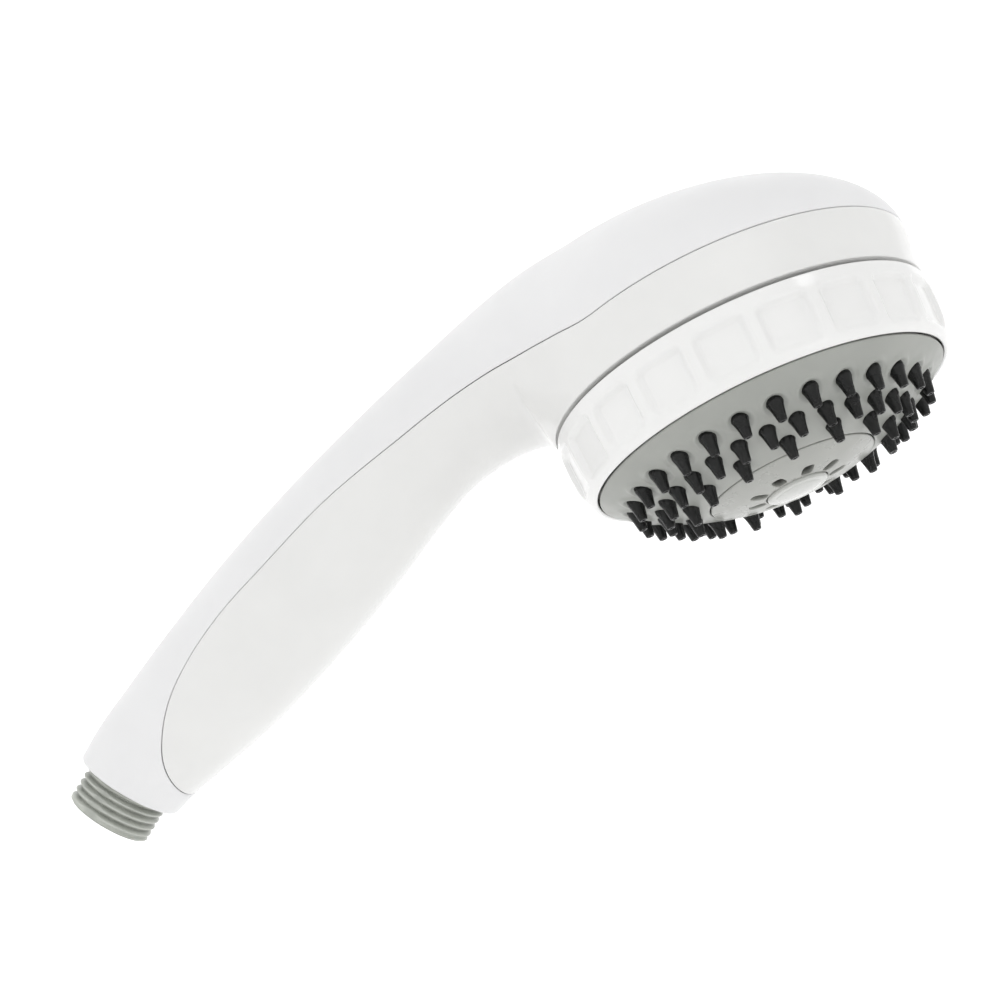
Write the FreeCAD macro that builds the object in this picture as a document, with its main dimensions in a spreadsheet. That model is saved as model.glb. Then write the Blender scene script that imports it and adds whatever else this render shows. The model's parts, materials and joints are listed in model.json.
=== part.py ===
import FreeCAD, Part
import math
import os
import re
import Sketcher

# Handheld shower head with a turning spray ring. Millimetres.
# Row frame: origin in the middle of the inlet's end face, +Z up along the inlet thread,
# +X towards the side that sprays. The head has a frame of its own, named the head frame:
# its origin is the centre of the spray face's rim, its Z runs along the head's axis towards
# the back, and its X points away from the handle.

SIZES = {
    # head frame in the row frame
    "head_across": 88.5,
    "head_up": 158.5,
    "head_tilt": 56.0,
    # casing
    "wall": 2.3,
    "head_radius": 46.5,
    "band_low_radius": 45.2,
    "shell_seam": 28.7,
    "band_low": 17.0,
    "dome_rise": 29.9,
    "dome_middle": -22.0,
    "skirt_inner": 41.2,
    "skirt_outer": 42.6,
    # selector ring and spray face
    "ring_high": 16.0,
    "ring_bore": 43.1,
    "ring_lip": 41.8,
    "grip_count": 20.0,
    "grip_depth": 1.1,
    "face_sphere": 67.5,
    "face_sphere_centre": 53.0,
    "face_skin": 2.0,
    "face_opening": 19.9,
    "mat_gap": 0.1,
    "mat_skin": 1.5,
    "disc_proud": 0.4,
    # nozzles
    "nozzle_root": 1.95,
    "nozzle_tip": 1.0,
    "nozzle_bore": 0.45,
    "nozzle_length": 4.0,
    "nozzle_clearance": 0.1,
    "outer_row_radius": 34.9,
    "middle_row_radius": 29.3,
    "inner_row_radius": 24.0,
    "outer_row_count": 28.0,
    "inner_row_count": 14.0,
    # turning group
    "hub_radius": 6.0,
    "hub_low": 2.1,
    "running_fit": 0.06,
    "valve_low": 16.0,
    "distributor_radius": 40.6,
    "distributor_high": 15.45,
    "distributor_low": 9.0,
    "port_count": 4.0,
    "port_offset": 18.0,
    "port_radius": 3.6,
    "detent_offset": 30.0,
    "detent_radius": 2.0,
    "track_depth": 1.2,
    "track_half_width": 1.7,
    "bump_turn": 8.0,
    "bump_high": 0.9,
    "bump_radius": 1.2,
    "chamber_low": 6.5,
    "chamber_radius": 43.0,
    "wheel_radius": 14.5,
    "wheel_vanes": 8.0,
    "slot_count": 9.0,
    "slot_phase": 13.0,
    "slot_offset": 9.6,
    "slot_width": 2.8,
    "slot_length": 4.0,
    # inlet: G 1/2 thread
    "thread_radius": 10.4775,
    "thread_pitch": 1.814,
    "thread_depth": 1.162,
    "thread_length": 9.4,
    "thread_flat": 10.0,
    "thread_bevel": 0.45,
    "inlet_bore": 6.5,
    "inlet_mouth": 6.8,
    "mouth_depth": 3.9,
    "tube_radius": 6.5,
    "tube_bore": 4.8,
    "tube_bend": 60.0,
    "tube_turn_up": 40.0,
    "tube_high_across": 23.7,
    "tube_high": 125.0,
    "socket_height": 35.0,
    "socket_end": -26.5,
}

# Handle sections from the tail to the neck: place across, place up, lean of the section's
# plane in degrees, half height and half width.
HANDLE_SECTIONS = (
    (0.0, 9.2, 0.0, 13.0, 13.0),
    (0.6, 17.0, 5.0, 13.9, 13.9),
    (2.3, 26.0, 8.0, 14.9, 14.9),
    (5.0, 39.6, 10.0, 16.4, 16.4),
    (9.3, 64.6, 11.0, 17.6, 17.7),
    (13.3, 88.8, 11.0, 17.1, 17.2),
    (16.2, 106.1, 12.0, 15.9, 16.0),
    (18.6, 116.9, 15.0, 15.4, 15.6),
    (22.7, 128.4, 22.0, 15.8, 17.5),
    (29.1, 140.4, 29.0, 17.8, 22.5),
    (39.4, 148.2, 34.0, 24.0, 30.5),
)

# Places along the head frame's X of the sections that follow the dome.
HEAD_SECTIONS = (-22.0, -8.0, 6.0, 18.0, 28.0, 36.0, 41.5, 44.6, 46.0, 46.4)

# The seam between the two casing shells below the head, in the row frame's XZ plane.
SEAM_CORNERS = (
    (50.7, 153.8),
    (40.7, 144.9),
    (31.8, 136.4),
    (24.5, 126.8),
    (19.0, 114.9),
    (12.2, 94.2),
    (7.3, 71.6),
    (4.4, 57.2),
    (3.6, 44.6),
    (4.6, 34.5),
    (7.2, 26.4),
    (10.3, 20.4),
    (15.3, 15.3),
    (22.0, 12.0),
)

# Rows of nozzles: radius, count and the angle of the first one.
NOZZLE_ROWS = (
    ("outer_row_radius", "outer_row_count", "(180 / outer_row_count)"),
    ("middle_row_radius", "outer_row_count", "0"),
    ("inner_row_radius", "inner_row_count", "(540 / outer_row_count)"),
)

# The three posts that hold the water body inside the back shell.
POST_ANGLES = (0.0, 120.0, 240.0)
POST_OFFSET = 33.0
POST_RADIUS = 3.6
SEAT_BOSS_HIGH = 21.0

document = FreeCAD.newDocument("handheld_shower_head")
sheet = document.addObject("Spreadsheet::Sheet", "Sizes")
for row, (alias, value) in enumerate(SIZES.items(), start=1):
    sheet.set(f"A{row}", str(value))
    sheet.setAlias(f"A{row}", alias)
document.recompute()

Vector = FreeCAD.Vector
parts = []


def sized(text):
    """The expression with every size name pointed at the sheet."""
    return re.sub(r"\b(?!deg\b)([a-z]\w*)\b(?!\()", r"Sizes.\1", str(text))


def value_of(text):
    """The number that an expression of size names has now."""
    return float(sheet.evalExpression(sized(text)))


def head_placement():
    """The head frame as a placement in the row frame."""
    turn = FreeCAD.Rotation(Vector(0, 1, 0), -value_of("head_tilt"))
    return FreeCAD.Placement(Vector(value_of("head_across"), 0, value_of("head_up")), turn)


def from_head(across, side, up):
    """A point of the head frame, in the row frame."""
    return head_placement().multVec(Vector(across, side, up))


def ride_head(thing):
    """Bind an object's placement to the head frame."""
    thing.Placement = head_placement()
    thing.setExpression("Placement.Base.x", sized("head_across"))
    thing.setExpression("Placement.Base.z", sized("head_up"))
    thing.setExpression("Placement.Rotation.Angle", sized("head_tilt"))
    thing.Placement.Rotation = FreeCAD.Rotation(Vector(0, -1, 0), value_of("head_tilt"))


def named(thing, label):
    """Keep a finished sub-part under its node name."""
    thing.Label = label
    parts.append(thing)
    return thing


def new_body(label, in_head=True):
    """An empty body for one sub-part."""
    body = document.addObject("PartDesign::Body", label)
    if in_head:
        ride_head(body)
    return named(body, label)


def datum(body, role):
    """One of a body's own origin planes or axes."""
    return next(item for item in body.Origin.OriginFeatures if item.Role == role)


def new_sketch(body, role, lift="0"):
    """A sketch on one of the body's origin planes, lifted along its normal."""
    sketch = body.newObject("Sketcher::SketchObject", "Sketch")
    sketch.AttachmentSupport = [(datum(body, role), "")]
    sketch.MapMode = "FlatFace"
    if lift != "0":
        sketch.AttachmentOffset = FreeCAD.Placement(Vector(0, 0, value_of(lift)), FreeCAD.Rotation())
        sketch.setExpression("AttachmentOffset.Base.z", sized(lift))
    return sketch


def pin_point(sketch, piece, end, across, up):
    """Bind one end point of a sketch line to expressions."""
    for kind, text, axis in (("DistanceX", across, -2), ("DistanceY", up, -1)):
        if text is None:
            continue
        size = value_of(text)
        if abs(size) < 1e-9:
            sketch.addConstraint(Sketcher.Constraint("PointOnObject", piece, end, axis))
            continue
        index = sketch.addConstraint(Sketcher.Constraint(kind, -1, 1, piece, end, size))
        sketch.setExpression(f"Constraints[{index}]", sized(text))


def polygon(sketch, corners, bows=None):
    """A closed outline. bows gives an edge's sphere centre and radius where the edge is an arc."""
    bows = bows or {}
    places = []
    for index, (across, up) in enumerate(corners):
        x = value_of(across)
        if up is None:
            centre, radius = bows.get(index, bows.get(index - 1))
            y = value_of(centre) - math.sqrt(value_of(radius) ** 2 - x * x)
        else:
            y = value_of(up)
        places.append(Vector(x, y, 0))
    ends = []
    for index, start in enumerate(places):
        finish = places[(index + 1) % len(places)]
        if index not in bows:
            sketch.addGeometry(Part.LineSegment(start, finish))
            ends.append((1, 2))
            continue
        centre = Vector(0, value_of(bows[index][0]), 0)
        angles = [math.atan2(p.y - centre.y, p.x) for p in (start, finish)]
        circle = Part.Circle(centre, Vector(0, 0, 1), value_of(bows[index][1]))
        sketch.addGeometry(Part.ArcOfCircle(circle, min(angles), max(angles)))
        ends.append((1, 2) if angles[0] < angles[1] else (2, 1))
        pin_point(sketch, index, 3, "0", bows[index][0])
        bend = sketch.addConstraint(Sketcher.Constraint("Radius", index, circle.Radius))
        sketch.setExpression(f"Constraints[{bend}]", sized(bows[index][1]))
    for index in range(len(places)):
        after = (index + 1) % len(places)
        joint = Sketcher.Constraint("Coincident", index, ends[index][1], after, ends[after][0])
        sketch.addConstraint(joint)
    for index, (across, up) in enumerate(corners):
        pin_point(sketch, index, ends[index][0], across, up)


def revolve(body, corners, bows=None):
    """Turn an outline of (radius, height) corners about the body's Z axis."""
    sketch = new_sketch(body, "XZ_Plane")
    polygon(sketch, corners, bows)
    feature = body.newObject("PartDesign::Revolution", "Revolution")
    feature.Profile = sketch
    feature.ReferenceAxis = (datum(body, "Z_Axis"), [""])
    feature.Angle = 360
    document.recompute()
    return feature


def groove(body, corners):
    """Cut an outline of (radius, height) corners out of the body, all the way round."""
    sketch = new_sketch(body, "XZ_Plane")
    polygon(sketch, corners)
    before = body.Shape.Volume
    feature = body.newObject("PartDesign::Groove", "Groove")
    feature.Profile = sketch
    feature.ReferenceAxis = (datum(body, "Z_Axis"), [""])
    feature.Angle = 360
    document.recompute()
    if body.Shape.Volume >= before:
        raise ValueError(f"{body.Label}: a groove cut nothing")
    return feature


def circles(sketch, places, radius):
    """Circles at (across, up) expressions, all with one radius."""
    for across, up in places:
        centre = Vector(value_of(across), value_of(up), 0)
        index = sketch.addGeometry(Part.Circle(centre, Vector(0, 0, 1), value_of(radius)))
        pin_point(sketch, index, 3, across, up)
        size = sketch.addConstraint(Sketcher.Constraint("Radius", index, value_of(radius)))
        sketch.setExpression(f"Constraints[{size}]", sized(radius))


def pad(body, low, length, places=None, radius=None, corners=None):
    """Add a prism that rises from a height of the body by a length."""
    sketch = new_sketch(body, "XY_Plane", low)
    if corners:
        polygon(sketch, corners)
    else:
        circles(sketch, places, radius)
    feature = body.newObject("PartDesign::Pad", "Pad")
    feature.Profile = sketch
    feature.Length = value_of(length)
    feature.setExpression("Length", sized(length))
    document.recompute()
    return feature


def pocket(body, high, depth, places=None, radius=None, corners=None):
    """Cut a prism that goes down from a height of the body by a depth."""
    sketch = new_sketch(body, "XY_Plane", high)
    if corners:
        polygon(sketch, corners)
    else:
        circles(sketch, places, radius)
    before = body.Shape.Volume
    feature = body.newObject("PartDesign::Pocket", "Pocket")
    feature.Profile = sketch
    feature.Length = value_of(depth)
    feature.setExpression("Length", sized(depth))
    document.recompute()
    if body.Shape.Volume >= before:
        raise ValueError(f"{body.Label}: a pocket cut nothing")
    return feature


def repeat(body, feature, count):
    """Repeat a feature round the body's Z axis."""
    pattern = body.newObject("PartDesign::PolarPattern", "Pattern")
    pattern.Originals = [feature]
    pattern.Axis = (datum(body, "Z_Axis"), [""])
    pattern.Angle = 360
    pattern.Occurrences = int(value_of(count))
    pattern.setExpression("Occurrences", sized(count))
    body.Tip = pattern
    document.recompute()
    return pattern


def turned(offset, degrees):
    """Expressions for a point at a radius and an angle."""
    return f"({offset}) * cos({degrees} * 1 deg)", f"({offset}) * sin({degrees} * 1 deg)"


# ---------------------------------------------------------------- casing


def section_wires(inset):
    """The casing's cross sections, each an ellipse, drawn in by an inset."""
    wires = []
    for across, up, lean, high, wide in HANDLE_SECTIONS:
        turn = FreeCAD.Rotation(Vector(0, 1, 0), lean)
        wires.append((Vector(across, 0, up), turn, high - inset, wide - inset))
    radius = value_of("head_radius") - inset
    rise = value_of("dome_rise") - inset
    middle = value_of("dome_middle")
    turn = FreeCAD.Rotation(Vector(0, 1, 0), 90 - value_of("head_tilt"))
    for across in HEAD_SECTIONS:
        if across > radius - 0.05:
            continue
        share = (across - middle) / (radius - middle)
        centre = from_head(across, 0, value_of("shell_seam"))
        high = rise * math.sqrt(1 - share**2)
        wires.append((centre, turn, high, math.sqrt(radius**2 - across**2)))
    return wires


def blank(label, inset):
    """A loft through the casing's sections."""
    rings = []
    for index, (centre, turn, high, wide) in enumerate(section_wires(inset)):
        ring = document.addObject("Part::Ellipse", f"{label}_{index}")
        ring.MajorRadius = max(high, wide)
        ring.MinorRadius = min(high, wide)
        spin = FreeCAD.Rotation(Vector(0, 0, 1), 90)
        ring.Placement = FreeCAD.Placement(centre, turn.multiply(spin))
        rings.append(ring)
    loft = document.addObject("Part::Loft", label)
    loft.Sections = rings
    loft.Solid = True
    loft.Ruled = False
    return loft


def seam_tool():
    """A block that holds everything behind the seam between the shells."""
    level = value_of("shell_seam")
    nose = from_head(80, 0, level)
    curve = Part.BSplineCurve()
    first = from_head(-10, 0, level)
    run = [Vector(x, -80, z) for x, z in SEAM_CORNERS]
    ahead = (from_head(-30, 0, level) - from_head(-10, 0, level)).normalize()
    curve.interpolate(
        [Vector(first.x, -80, first.z)] + run,
        InitialTangent=ahead,
        FinalTangent=(run[-1] - run[-2]).normalize(),
    )
    corners = [
        run[-1],
        Vector(60, -80, -20),
        Vector(-120, -80, -20),
        Vector(-120, -80, 300),
        Vector(nose.x, -80, 300),
        Vector(nose.x, -80, nose.z),
        Vector(first.x, -80, first.z),
    ]
    edges = [curve.toShape()]
    edges += [Part.LineSegment(a, b).toShape() for a, b in zip(corners, corners[1:])]
    tool = document.addObject("Part::Feature", "seam_tool")
    tool.Shape = Part.Face(Part.Wire(edges)).extrude(Vector(0, 160, 0))
    return tool


def cylinder(label, radius, low, length, across=0.0, side=0.0):
    """An upright cylinder of the head frame."""
    item = document.addObject("Part::Cylinder", label)
    item.Radius = radius
    item.Height = length
    foot = FreeCAD.Placement(Vector(across, side, low), FreeCAD.Rotation())
    item.Placement = head_placement().multiply(foot)
    return item


def combine(kind, label, first, second):
    """A boolean of two objects."""
    item = document.addObject(f"Part::{kind}", label)
    item.Base = first
    item.Tool = second
    return item


def fuse_all(label, items):
    """Several objects fused into one."""
    item = document.addObject("Part::MultiFuse", label)
    item.Shapes = items
    return item


def make_shells():
    """The two casing shells, cut from one lofted blank along the seam."""
    outer = blank("outer_blank", 0.0)
    inner = blank("inner_blank", value_of("wall"))
    tool = seam_tool()
    low = value_of("band_low")
    high = value_of("shell_seam")

    rear = combine("Common", "rear_half", outer, tool)
    rear_hollow = combine("Cut", "rear_hollow", rear, inner)
    posts = []
    for index, angle in enumerate(POST_ANGLES):
        x = POST_OFFSET * math.cos(math.radians(angle))
        y = POST_OFFSET * math.sin(math.radians(angle))
        rod = cylinder(f"post_{index}", POST_RADIUS, SEAT_BOSS_HIGH, 60, x, y)
        pilot = cylinder(f"pilot_{index}", 1.5, SEAT_BOSS_HIGH - 1, 12, x, y)
        posts.append(combine("Cut", f"drilled_post_{index}", rod, pilot))
    pillars = combine("Common", "pillars", fuse_all("post_rods", posts), outer)
    back = fuse_all("back_with_posts", [rear_hollow, pillars])
    named(back, "back_shell")

    front = combine("Cut", "front_half", outer, tool)
    clear = cylinder("under_head", value_of("head_radius") + 0.2, -60, 60 + low)
    bore = value_of("head_radius - wall") - 0.4
    core = cylinder("head_core", bore, low - 1, high + 40)
    front = combine("Cut", "front_trimmed", front, clear)
    front = combine("Cut", "front_cored", front, inner)
    front = combine("Cut", "front_open", front, core)
    band = document.addObject("PartDesign::Body", "band")
    ride_head(band)
    revolve(
        band,
        [
            ("skirt_inner", "band_low - 2.8"),
            ("skirt_outer", "band_low - 2.8"),
            ("skirt_outer", "band_low"),
            ("band_low_radius", "band_low"),
            ("head_radius", "shell_seam"),
            ("head_radius - wall", "shell_seam"),
            ("head_radius - wall", "band_low + 3"),
            ("skirt_inner", "band_low + 2"),
        ],
    )
    hollow_core = combine("Cut", "neck_passage", inner, clear)
    band_open = combine("Cut", "band_with_passage", band, hollow_core)
    band_open = combine("Cut", "band_below_seam", band_open, tool)
    named(fuse_all("front_with_band", [front, band_open]), "front_shell")


# ---------------------------------------------------------------- turning group


def make_selector_ring():
    """The turning ring, with finger recesses round it and four keys inside."""
    body = new_body("selector_ring")
    revolve(
        body,
        [
            ("ring_lip", "0.4"),
            ("ring_lip + 0.6", "0"),
            ("43.7", "1.2"),
            ("44.7", "3.6"),
            ("45.2", "7"),
            ("45.4", "12.5"),
            ("band_low_radius", "ring_high"),
            ("ring_bore", "ring_high"),
            ("ring_bore", "1.6"),
            ("ring_lip", "1.6"),
        ],
    )
    cut = pocket(
        body,
        "12.4",
        "10.2",
        corners=[
            ("45.4 - grip_depth", "-5.6"),
            ("50", "-5.6"),
            ("50", "5.6"),
            ("45.4 - grip_depth", "5.6"),
        ],
    )
    repeat(body, cut, "grip_count")
    key = pad(
        body,
        "chamber_low",
        "5",
        corners=[
            ("ring_bore - 1.2", "-2"),
            ("ring_bore + 0.5", "-2"),
            ("ring_bore + 0.5", "2"),
            ("ring_bore - 1.2", "2"),
        ],
    )
    repeat(body, key, "port_count")


def make_face_plate():
    """The grey domed spray face, drilled for every nozzle."""
    body = new_body("face_plate")
    revolve(
        body,
        [
            ("face_opening", None),
            ("ring_lip - 0.1", None),
            ("ring_lip - 0.1", "1.6"),
            ("chamber_radius", "1.6"),
            ("chamber_radius", "3.4"),
            ("40", "3.4"),
            ("40", None),
            ("face_opening", None),
        ],
        {
            0: ("face_sphere_centre", "face_sphere"),
            6: ("face_sphere_centre", "face_sphere - face_skin"),
        },
    )
    for radius, count, phase in NOZZLE_ROWS:
        cut = pocket(
            body,
            "2",
            "20",
            [turned(radius, phase)],
            "nozzle_root + nozzle_clearance",
        )
        repeat(body, cut, count)


def make_nozzle_mat():
    """The rubber mat behind the face, with a hollow cone for every nozzle."""
    body = new_body("nozzle_mat")
    back = "face_sphere - face_skin - mat_gap"
    revolve(
        body,
        [
            ("19.2", None),
            ("39.6", None),
            ("39.6", None),
            ("19.2", None),
        ],
        {
            0: ("face_sphere_centre", back),
            2: ("face_sphere_centre", f"{back} - mat_skin"),
        },
    )
    for radius, count, phase in NOZZLE_ROWS:
        level = f"face_sphere_centre - sqrt(pow(face_sphere; 2) - pow({radius}; 2))"
        sketch = new_sketch(body, "XZ_Plane")
        turn = FreeCAD.Rotation(Vector(0, 1, 0), value_of(phase))
        sketch.AttachmentOffset = FreeCAD.Placement(Vector(), turn)
        sketch.setExpression("AttachmentOffset.Rotation.Angle", sized(phase))
        polygon(
            sketch,
            [
                (f"{radius} + nozzle_bore", f"{level} - nozzle_length"),
                (f"{radius} + nozzle_tip", f"{level} - nozzle_length"),
                (f"{radius} + nozzle_root", level),
                (f"{radius} + nozzle_root", f"{level} + face_skin + 1.6"),
                (f"{radius} + nozzle_bore", f"{level} + face_skin + 1.6"),
            ],
        )
        centre = value_of(radius)
        line = Part.LineSegment(Vector(centre, -20, 0), Vector(centre, 5, 0))
        axis = sketch.addGeometry(line, True)
        sketch.addConstraint(Sketcher.Constraint("Vertical", axis))
        pin_point(sketch, axis, 1, radius, "-20")
        pin_point(sketch, axis, 2, None, "5")
        cone = body.newObject("PartDesign::Revolution", "Nozzle")
        cone.Profile = sketch
        cone.ReferenceAxis = (sketch, ["Axis0"])
        cone.Angle = 360
        document.recompute()
        repeat(body, cone, count)
        repeat(body, pocket(body, "0", "20", [turned(radius, phase)], "nozzle_bore"), count)


def make_distributor_disc():
    """The turning disc that the seal slides on: ports, a track for the detent pin and a sleeve.

    The pin runs in the track and has to climb a bump at each side of every stop.
    """
    body = new_body("distributor_disc")
    bore = "hub_radius + running_fit"
    revolve(
        body,
        [
            ("2.7", "0.6"),
            ("8.6", "0.6"),
            ("8.6", "12.6"),
            ("38.6", "12.6"),
            ("38.6", "distributor_low"),
            ("distributor_radius", "distributor_low"),
            ("distributor_radius", "distributor_high"),
            ("detent_offset + track_half_width", "distributor_high"),
            ("detent_offset + track_half_width", "distributor_high - track_depth"),
            ("detent_offset - track_half_width", "distributor_high - track_depth"),
            ("detent_offset - track_half_width", "distributor_high"),
            (bore, "distributor_high"),
            (bore, "2"),
            ("2.7", "2"),
        ],
    )
    repeat(body, pad(body, "distributor_low", "3.7", [turned("22.3", "45")], "3"), "port_count")
    repeat(body, pocket(body, "11.5", "3", [turned("22.3", "45")], "1.3"), "port_count")
    repeat(body, pocket(body, "distributor_high", "6", [("port_offset", "0")], "port_radius"), "port_count")
    for side in ("-", "+"):
        place = [turned("detent_offset", f"(90 {side} bump_turn)")]
        bump = pad(body, "distributor_high - track_depth - 0.3", "bump_high + 0.3", place, "bump_radius")
        repeat(body, bump, "port_count")


def make_spray_chamber():
    """The chamber piece that clamps the mat, with a wall between each pair of zones."""
    body = new_body("spray_chamber")
    mat_top = "face_sphere - face_skin - mat_gap - mat_skin - 0.1"
    revolve(
        body,
        [
            ("8.8", "chamber_low"),
            ("16.6", "chamber_low"),
            ("16.6", "-9.7"),
            ("18.4", "-9.7"),
            ("18.4", "chamber_low"),
            ("26.2", "chamber_low"),
            ("26.2", None),
            ("27.4", None),
            ("27.4", "chamber_low"),
            ("38.2", "chamber_low"),
            ("38.2", None),
            ("39.8", None),
            ("39.8", "3.4"),
            ("chamber_radius", "3.4"),
            ("chamber_radius", "distributor_low"),
            ("8.8", "distributor_low"),
        ],
        {
            6: ("face_sphere_centre", mat_top),
            10: ("face_sphere_centre", mat_top),
        },
    )
    top = "distributor_low"
    for offset, angle, radius, count in (
        ("22.3", "45", "1.6", "4"),
        ("22.3", "0", "2.4", "4"),
        ("32.5", "22.5", "2.6", "8"),
        ("12.8", "30", "2", "3"),
    ):
        repeat(body, pocket(body, top, "2.6", [turned(offset, angle)], radius), count)
    notch = pocket(
        body,
        top,
        "7",
        corners=[("41.6", "-2.2"), ("44", "-2.2"), ("44", "2.2"), ("41.6", "2.2")],
    )
    repeat(body, notch, "port_count")


def make_centre_disc():
    """The paler disc in the middle of the face, with the massage slots."""
    body = new_body("centre_disc")
    rim = "face_opening - 0.2"
    revolve(
        body,
        [
            ("0", None),
            (rim, None),
            (rim, None),
            ("0", None),
        ],
        {
            0: ("face_sphere_centre", "face_sphere + disc_proud"),
            2: ("face_sphere_centre", "face_sphere - 1.8"),
        },
    )
    pocket(body, "-13.8", "4", [("0", "0")], "7.5")
    half = "slot_width / 2"
    reach = "slot_length / 2"
    corners = []
    for along, aside in ((f"-{reach}", f"-{half}"), (reach, f"-{half}"), (reach, half), (f"-{reach}", half)):
        turn = "slot_phase"
        x = f"(slot_offset + {along}) * cos({turn} * 1 deg) - ({aside}) * sin({turn} * 1 deg)"
        y = f"(slot_offset + {along}) * sin({turn} * 1 deg) + ({aside}) * cos({turn} * 1 deg)"
        corners.append((x, y))
    repeat(body, pocket(body, "-9", "8", corners=corners), "slot_count")


def make_centre_cap():
    """The button-like cap in the middle of the disc."""
    body = new_body("centre_cap")
    revolve(
        body,
        [
            ("0", "-15.3"),
            ("5", "-15.25"),
            ("6.9", "-14.9"),
            ("7.2", "-14.4"),
            ("7.2", "-13.8"),
            ("0", "-13.8"),
        ],
    )


def make_jet_plate():
    """The plate whose slanting jets drive the wheel, with the wheel's spindle."""
    body = new_body("jet_plate")
    revolve(
        body,
        [
            ("0", "-12.5"),
            ("1.8", "-12.5"),
            ("1.8", "-5.6"),
            ("16.5", "-5.6"),
            ("16.5", "-4.1"),
            ("0", "-4.1"),
        ],
    )
    repeat(body, pocket(body, "-4.1", "1.5", [turned("10.5", "30")], "1.1"), "3")


def make_massage_wheel():
    """The wheel: a half disc that covers slots in turn, under a row of vanes."""
    body = new_body("massage_wheel")
    revolve(
        body,
        [
            ("1.86", "-12.1"),
            ("3.6", "-12.1"),
            ("3.6", "-6.2"),
            ("1.86", "-6.2"),
        ],
    )
    vane = pad(
        body,
        "-10.2",
        "3.8",
        corners=[
            ("3", "-0.5"),
            ("wheel_radius - 0.4", "-0.5"),
            ("wheel_radius - 0.4", "0.5"),
            ("3", "0.5"),
        ],
    )
    repeat(body, vane, "wheel_vanes")
    sketch = new_sketch(body, "XY_Plane", "-10.4")
    rim = Part.Circle(Vector(), Vector(0, 0, 1), value_of("wheel_radius"))
    sketch.addGeometry(Part.ArcOfCircle(rim, 0, math.pi))
    span = value_of("wheel_radius")
    sketch.addGeometry(Part.LineSegment(Vector(-span, 0, 0), Vector(span, 0, 0)))
    sketch.addConstraint(Sketcher.Constraint("Coincident", 0, 3, -1, 1))
    sketch.addConstraint(Sketcher.Constraint("Coincident", 0, 2, 1, 1))
    sketch.addConstraint(Sketcher.Constraint("Coincident", 0, 1, 1, 2))
    sketch.addConstraint(Sketcher.Constraint("PointOnObject", 0, 1, -1))
    sketch.addConstraint(Sketcher.Constraint("PointOnObject", 0, 2, -1))
    size = sketch.addConstraint(Sketcher.Constraint("Radius", 0, span))
    sketch.setExpression(f"Constraints[{size}]", sized("wheel_radius"))
    shutter = body.newObject("PartDesign::Pad", "Shutter")
    shutter.Profile = sketch
    shutter.Length = 1.2
    document.recompute()
    pocket(body, "-5", "10", [("0", "0")], "1.86")


# ---------------------------------------------------------------- fixed inside


def make_valve_body():
    """The fixed water body: seat plate, hub, seal bore, tube socket and detent housing."""
    body = new_body("valve_body")
    revolve(
        body,
        [
            ("0", "hub_low"),
            ("hub_radius", "hub_low"),
            ("hub_radius", "valve_low"),
            ("38.5", "valve_low"),
            ("38.5", "20.5"),
            ("36.9", "20.5"),
            ("36.9", "18.5"),
            ("0", "18.5"),
        ],
    )
    pad(body, "18", "25", [("-port_offset", "0")], "8.4")
    pad(body, "18", "12", [("0", "detent_offset")], "4")
    seats = [turned(str(POST_OFFSET), str(angle)) for angle in POST_ANGLES]
    pad(body, "18", f"{SEAT_BOSS_HIGH - 18}", seats, "5")
    sketch = new_sketch(body, "YZ_Plane", "-port_offset")
    circles(sketch, [("0", "socket_height")], "9.4")
    socket = body.newObject("PartDesign::Pad", "Socket")
    socket.Profile = sketch
    socket.Length = 17
    socket.Reversed = True
    document.recompute()
    pocket(body, "39.5", "30", [("-port_offset", "0")], "5")
    for radius, start in (("5", "-port_offset"), ("tube_radius + running_fit", "socket_end")):
        before = body.Shape.Volume
        sketch = new_sketch(body, "YZ_Plane", start)
        circles(sketch, [("0", "socket_height")], radius)
        bore = body.newObject("PartDesign::Pocket", "Bore")
        bore.Profile = sketch
        bore.Length = 10
        document.recompute()
        if body.Shape.Volume >= before:
            raise ValueError("the tube socket cut nothing")
    pocket(body, "28", "20", [("0", "detent_offset")], "detent_radius + running_fit")
    pocket(body, "18.2", "10", seats, "3")
    pocket(body, "22", "10", seats, "1.6")
    pocket(body, "15", "20", [("0", "0")], "1.9")
    groove(body, [("4.7", "9"), ("7", "9"), ("7", "10.6"), ("4.7", "10.6")])


def make_port_seal():
    """The rubber cup that the spring holds against the distributor."""
    body = new_body("port_seal")
    place = [("-port_offset", "0")]
    pad(body, "distributor_high + 0.05", "5", place, "4.92")
    pocket(body, "25", "30", place, "2.6")
    pocket(body, "25", "7.2", place, "3.9")


def make_detent_pin():
    """The sprung pin that runs in the distributor's track."""
    body = new_body("detent_pin")
    place = [("0", "detent_offset")]
    pad(body, "valve_low + 0.1", "5", place, "detent_radius")
    pad(body, "14.6", "2", place, "1.35")


def coil(label, radius, wire, low, high, turns, across, side):
    """A compression spring of the head frame, as one wire wound upwards."""
    body = new_body(label, in_head=False)
    foot = FreeCAD.Placement(Vector(across, side, 0), FreeCAD.Rotation())
    body.Placement = head_placement().multiply(foot)
    sketch = new_sketch(body, "XZ_Plane")
    circles(sketch, [(radius, f"{low} + {wire}")], wire)
    spring = body.newObject("PartDesign::AdditiveHelix", "Spring")
    spring.Profile = sketch
    spring.ReferenceAxis = (datum(body, "Z_Axis"), [""])
    spring.Mode = 0
    spring.Height = high - low - 2 * wire
    spring.Pitch = spring.Height.Value / turns
    document.recompute()


def torus(label, ring, section, centre, turn):
    """One O-ring."""
    item = document.addObject("Part::Torus", label)
    item.Radius1 = ring
    item.Radius2 = section
    item.Placement = FreeCAD.Placement(centre, turn)
    return item


def group(label, items):
    """Separate solids that share one node."""
    item = document.addObject("Part::Compound", label)
    item.Links = items
    return named(item, label)


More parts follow.
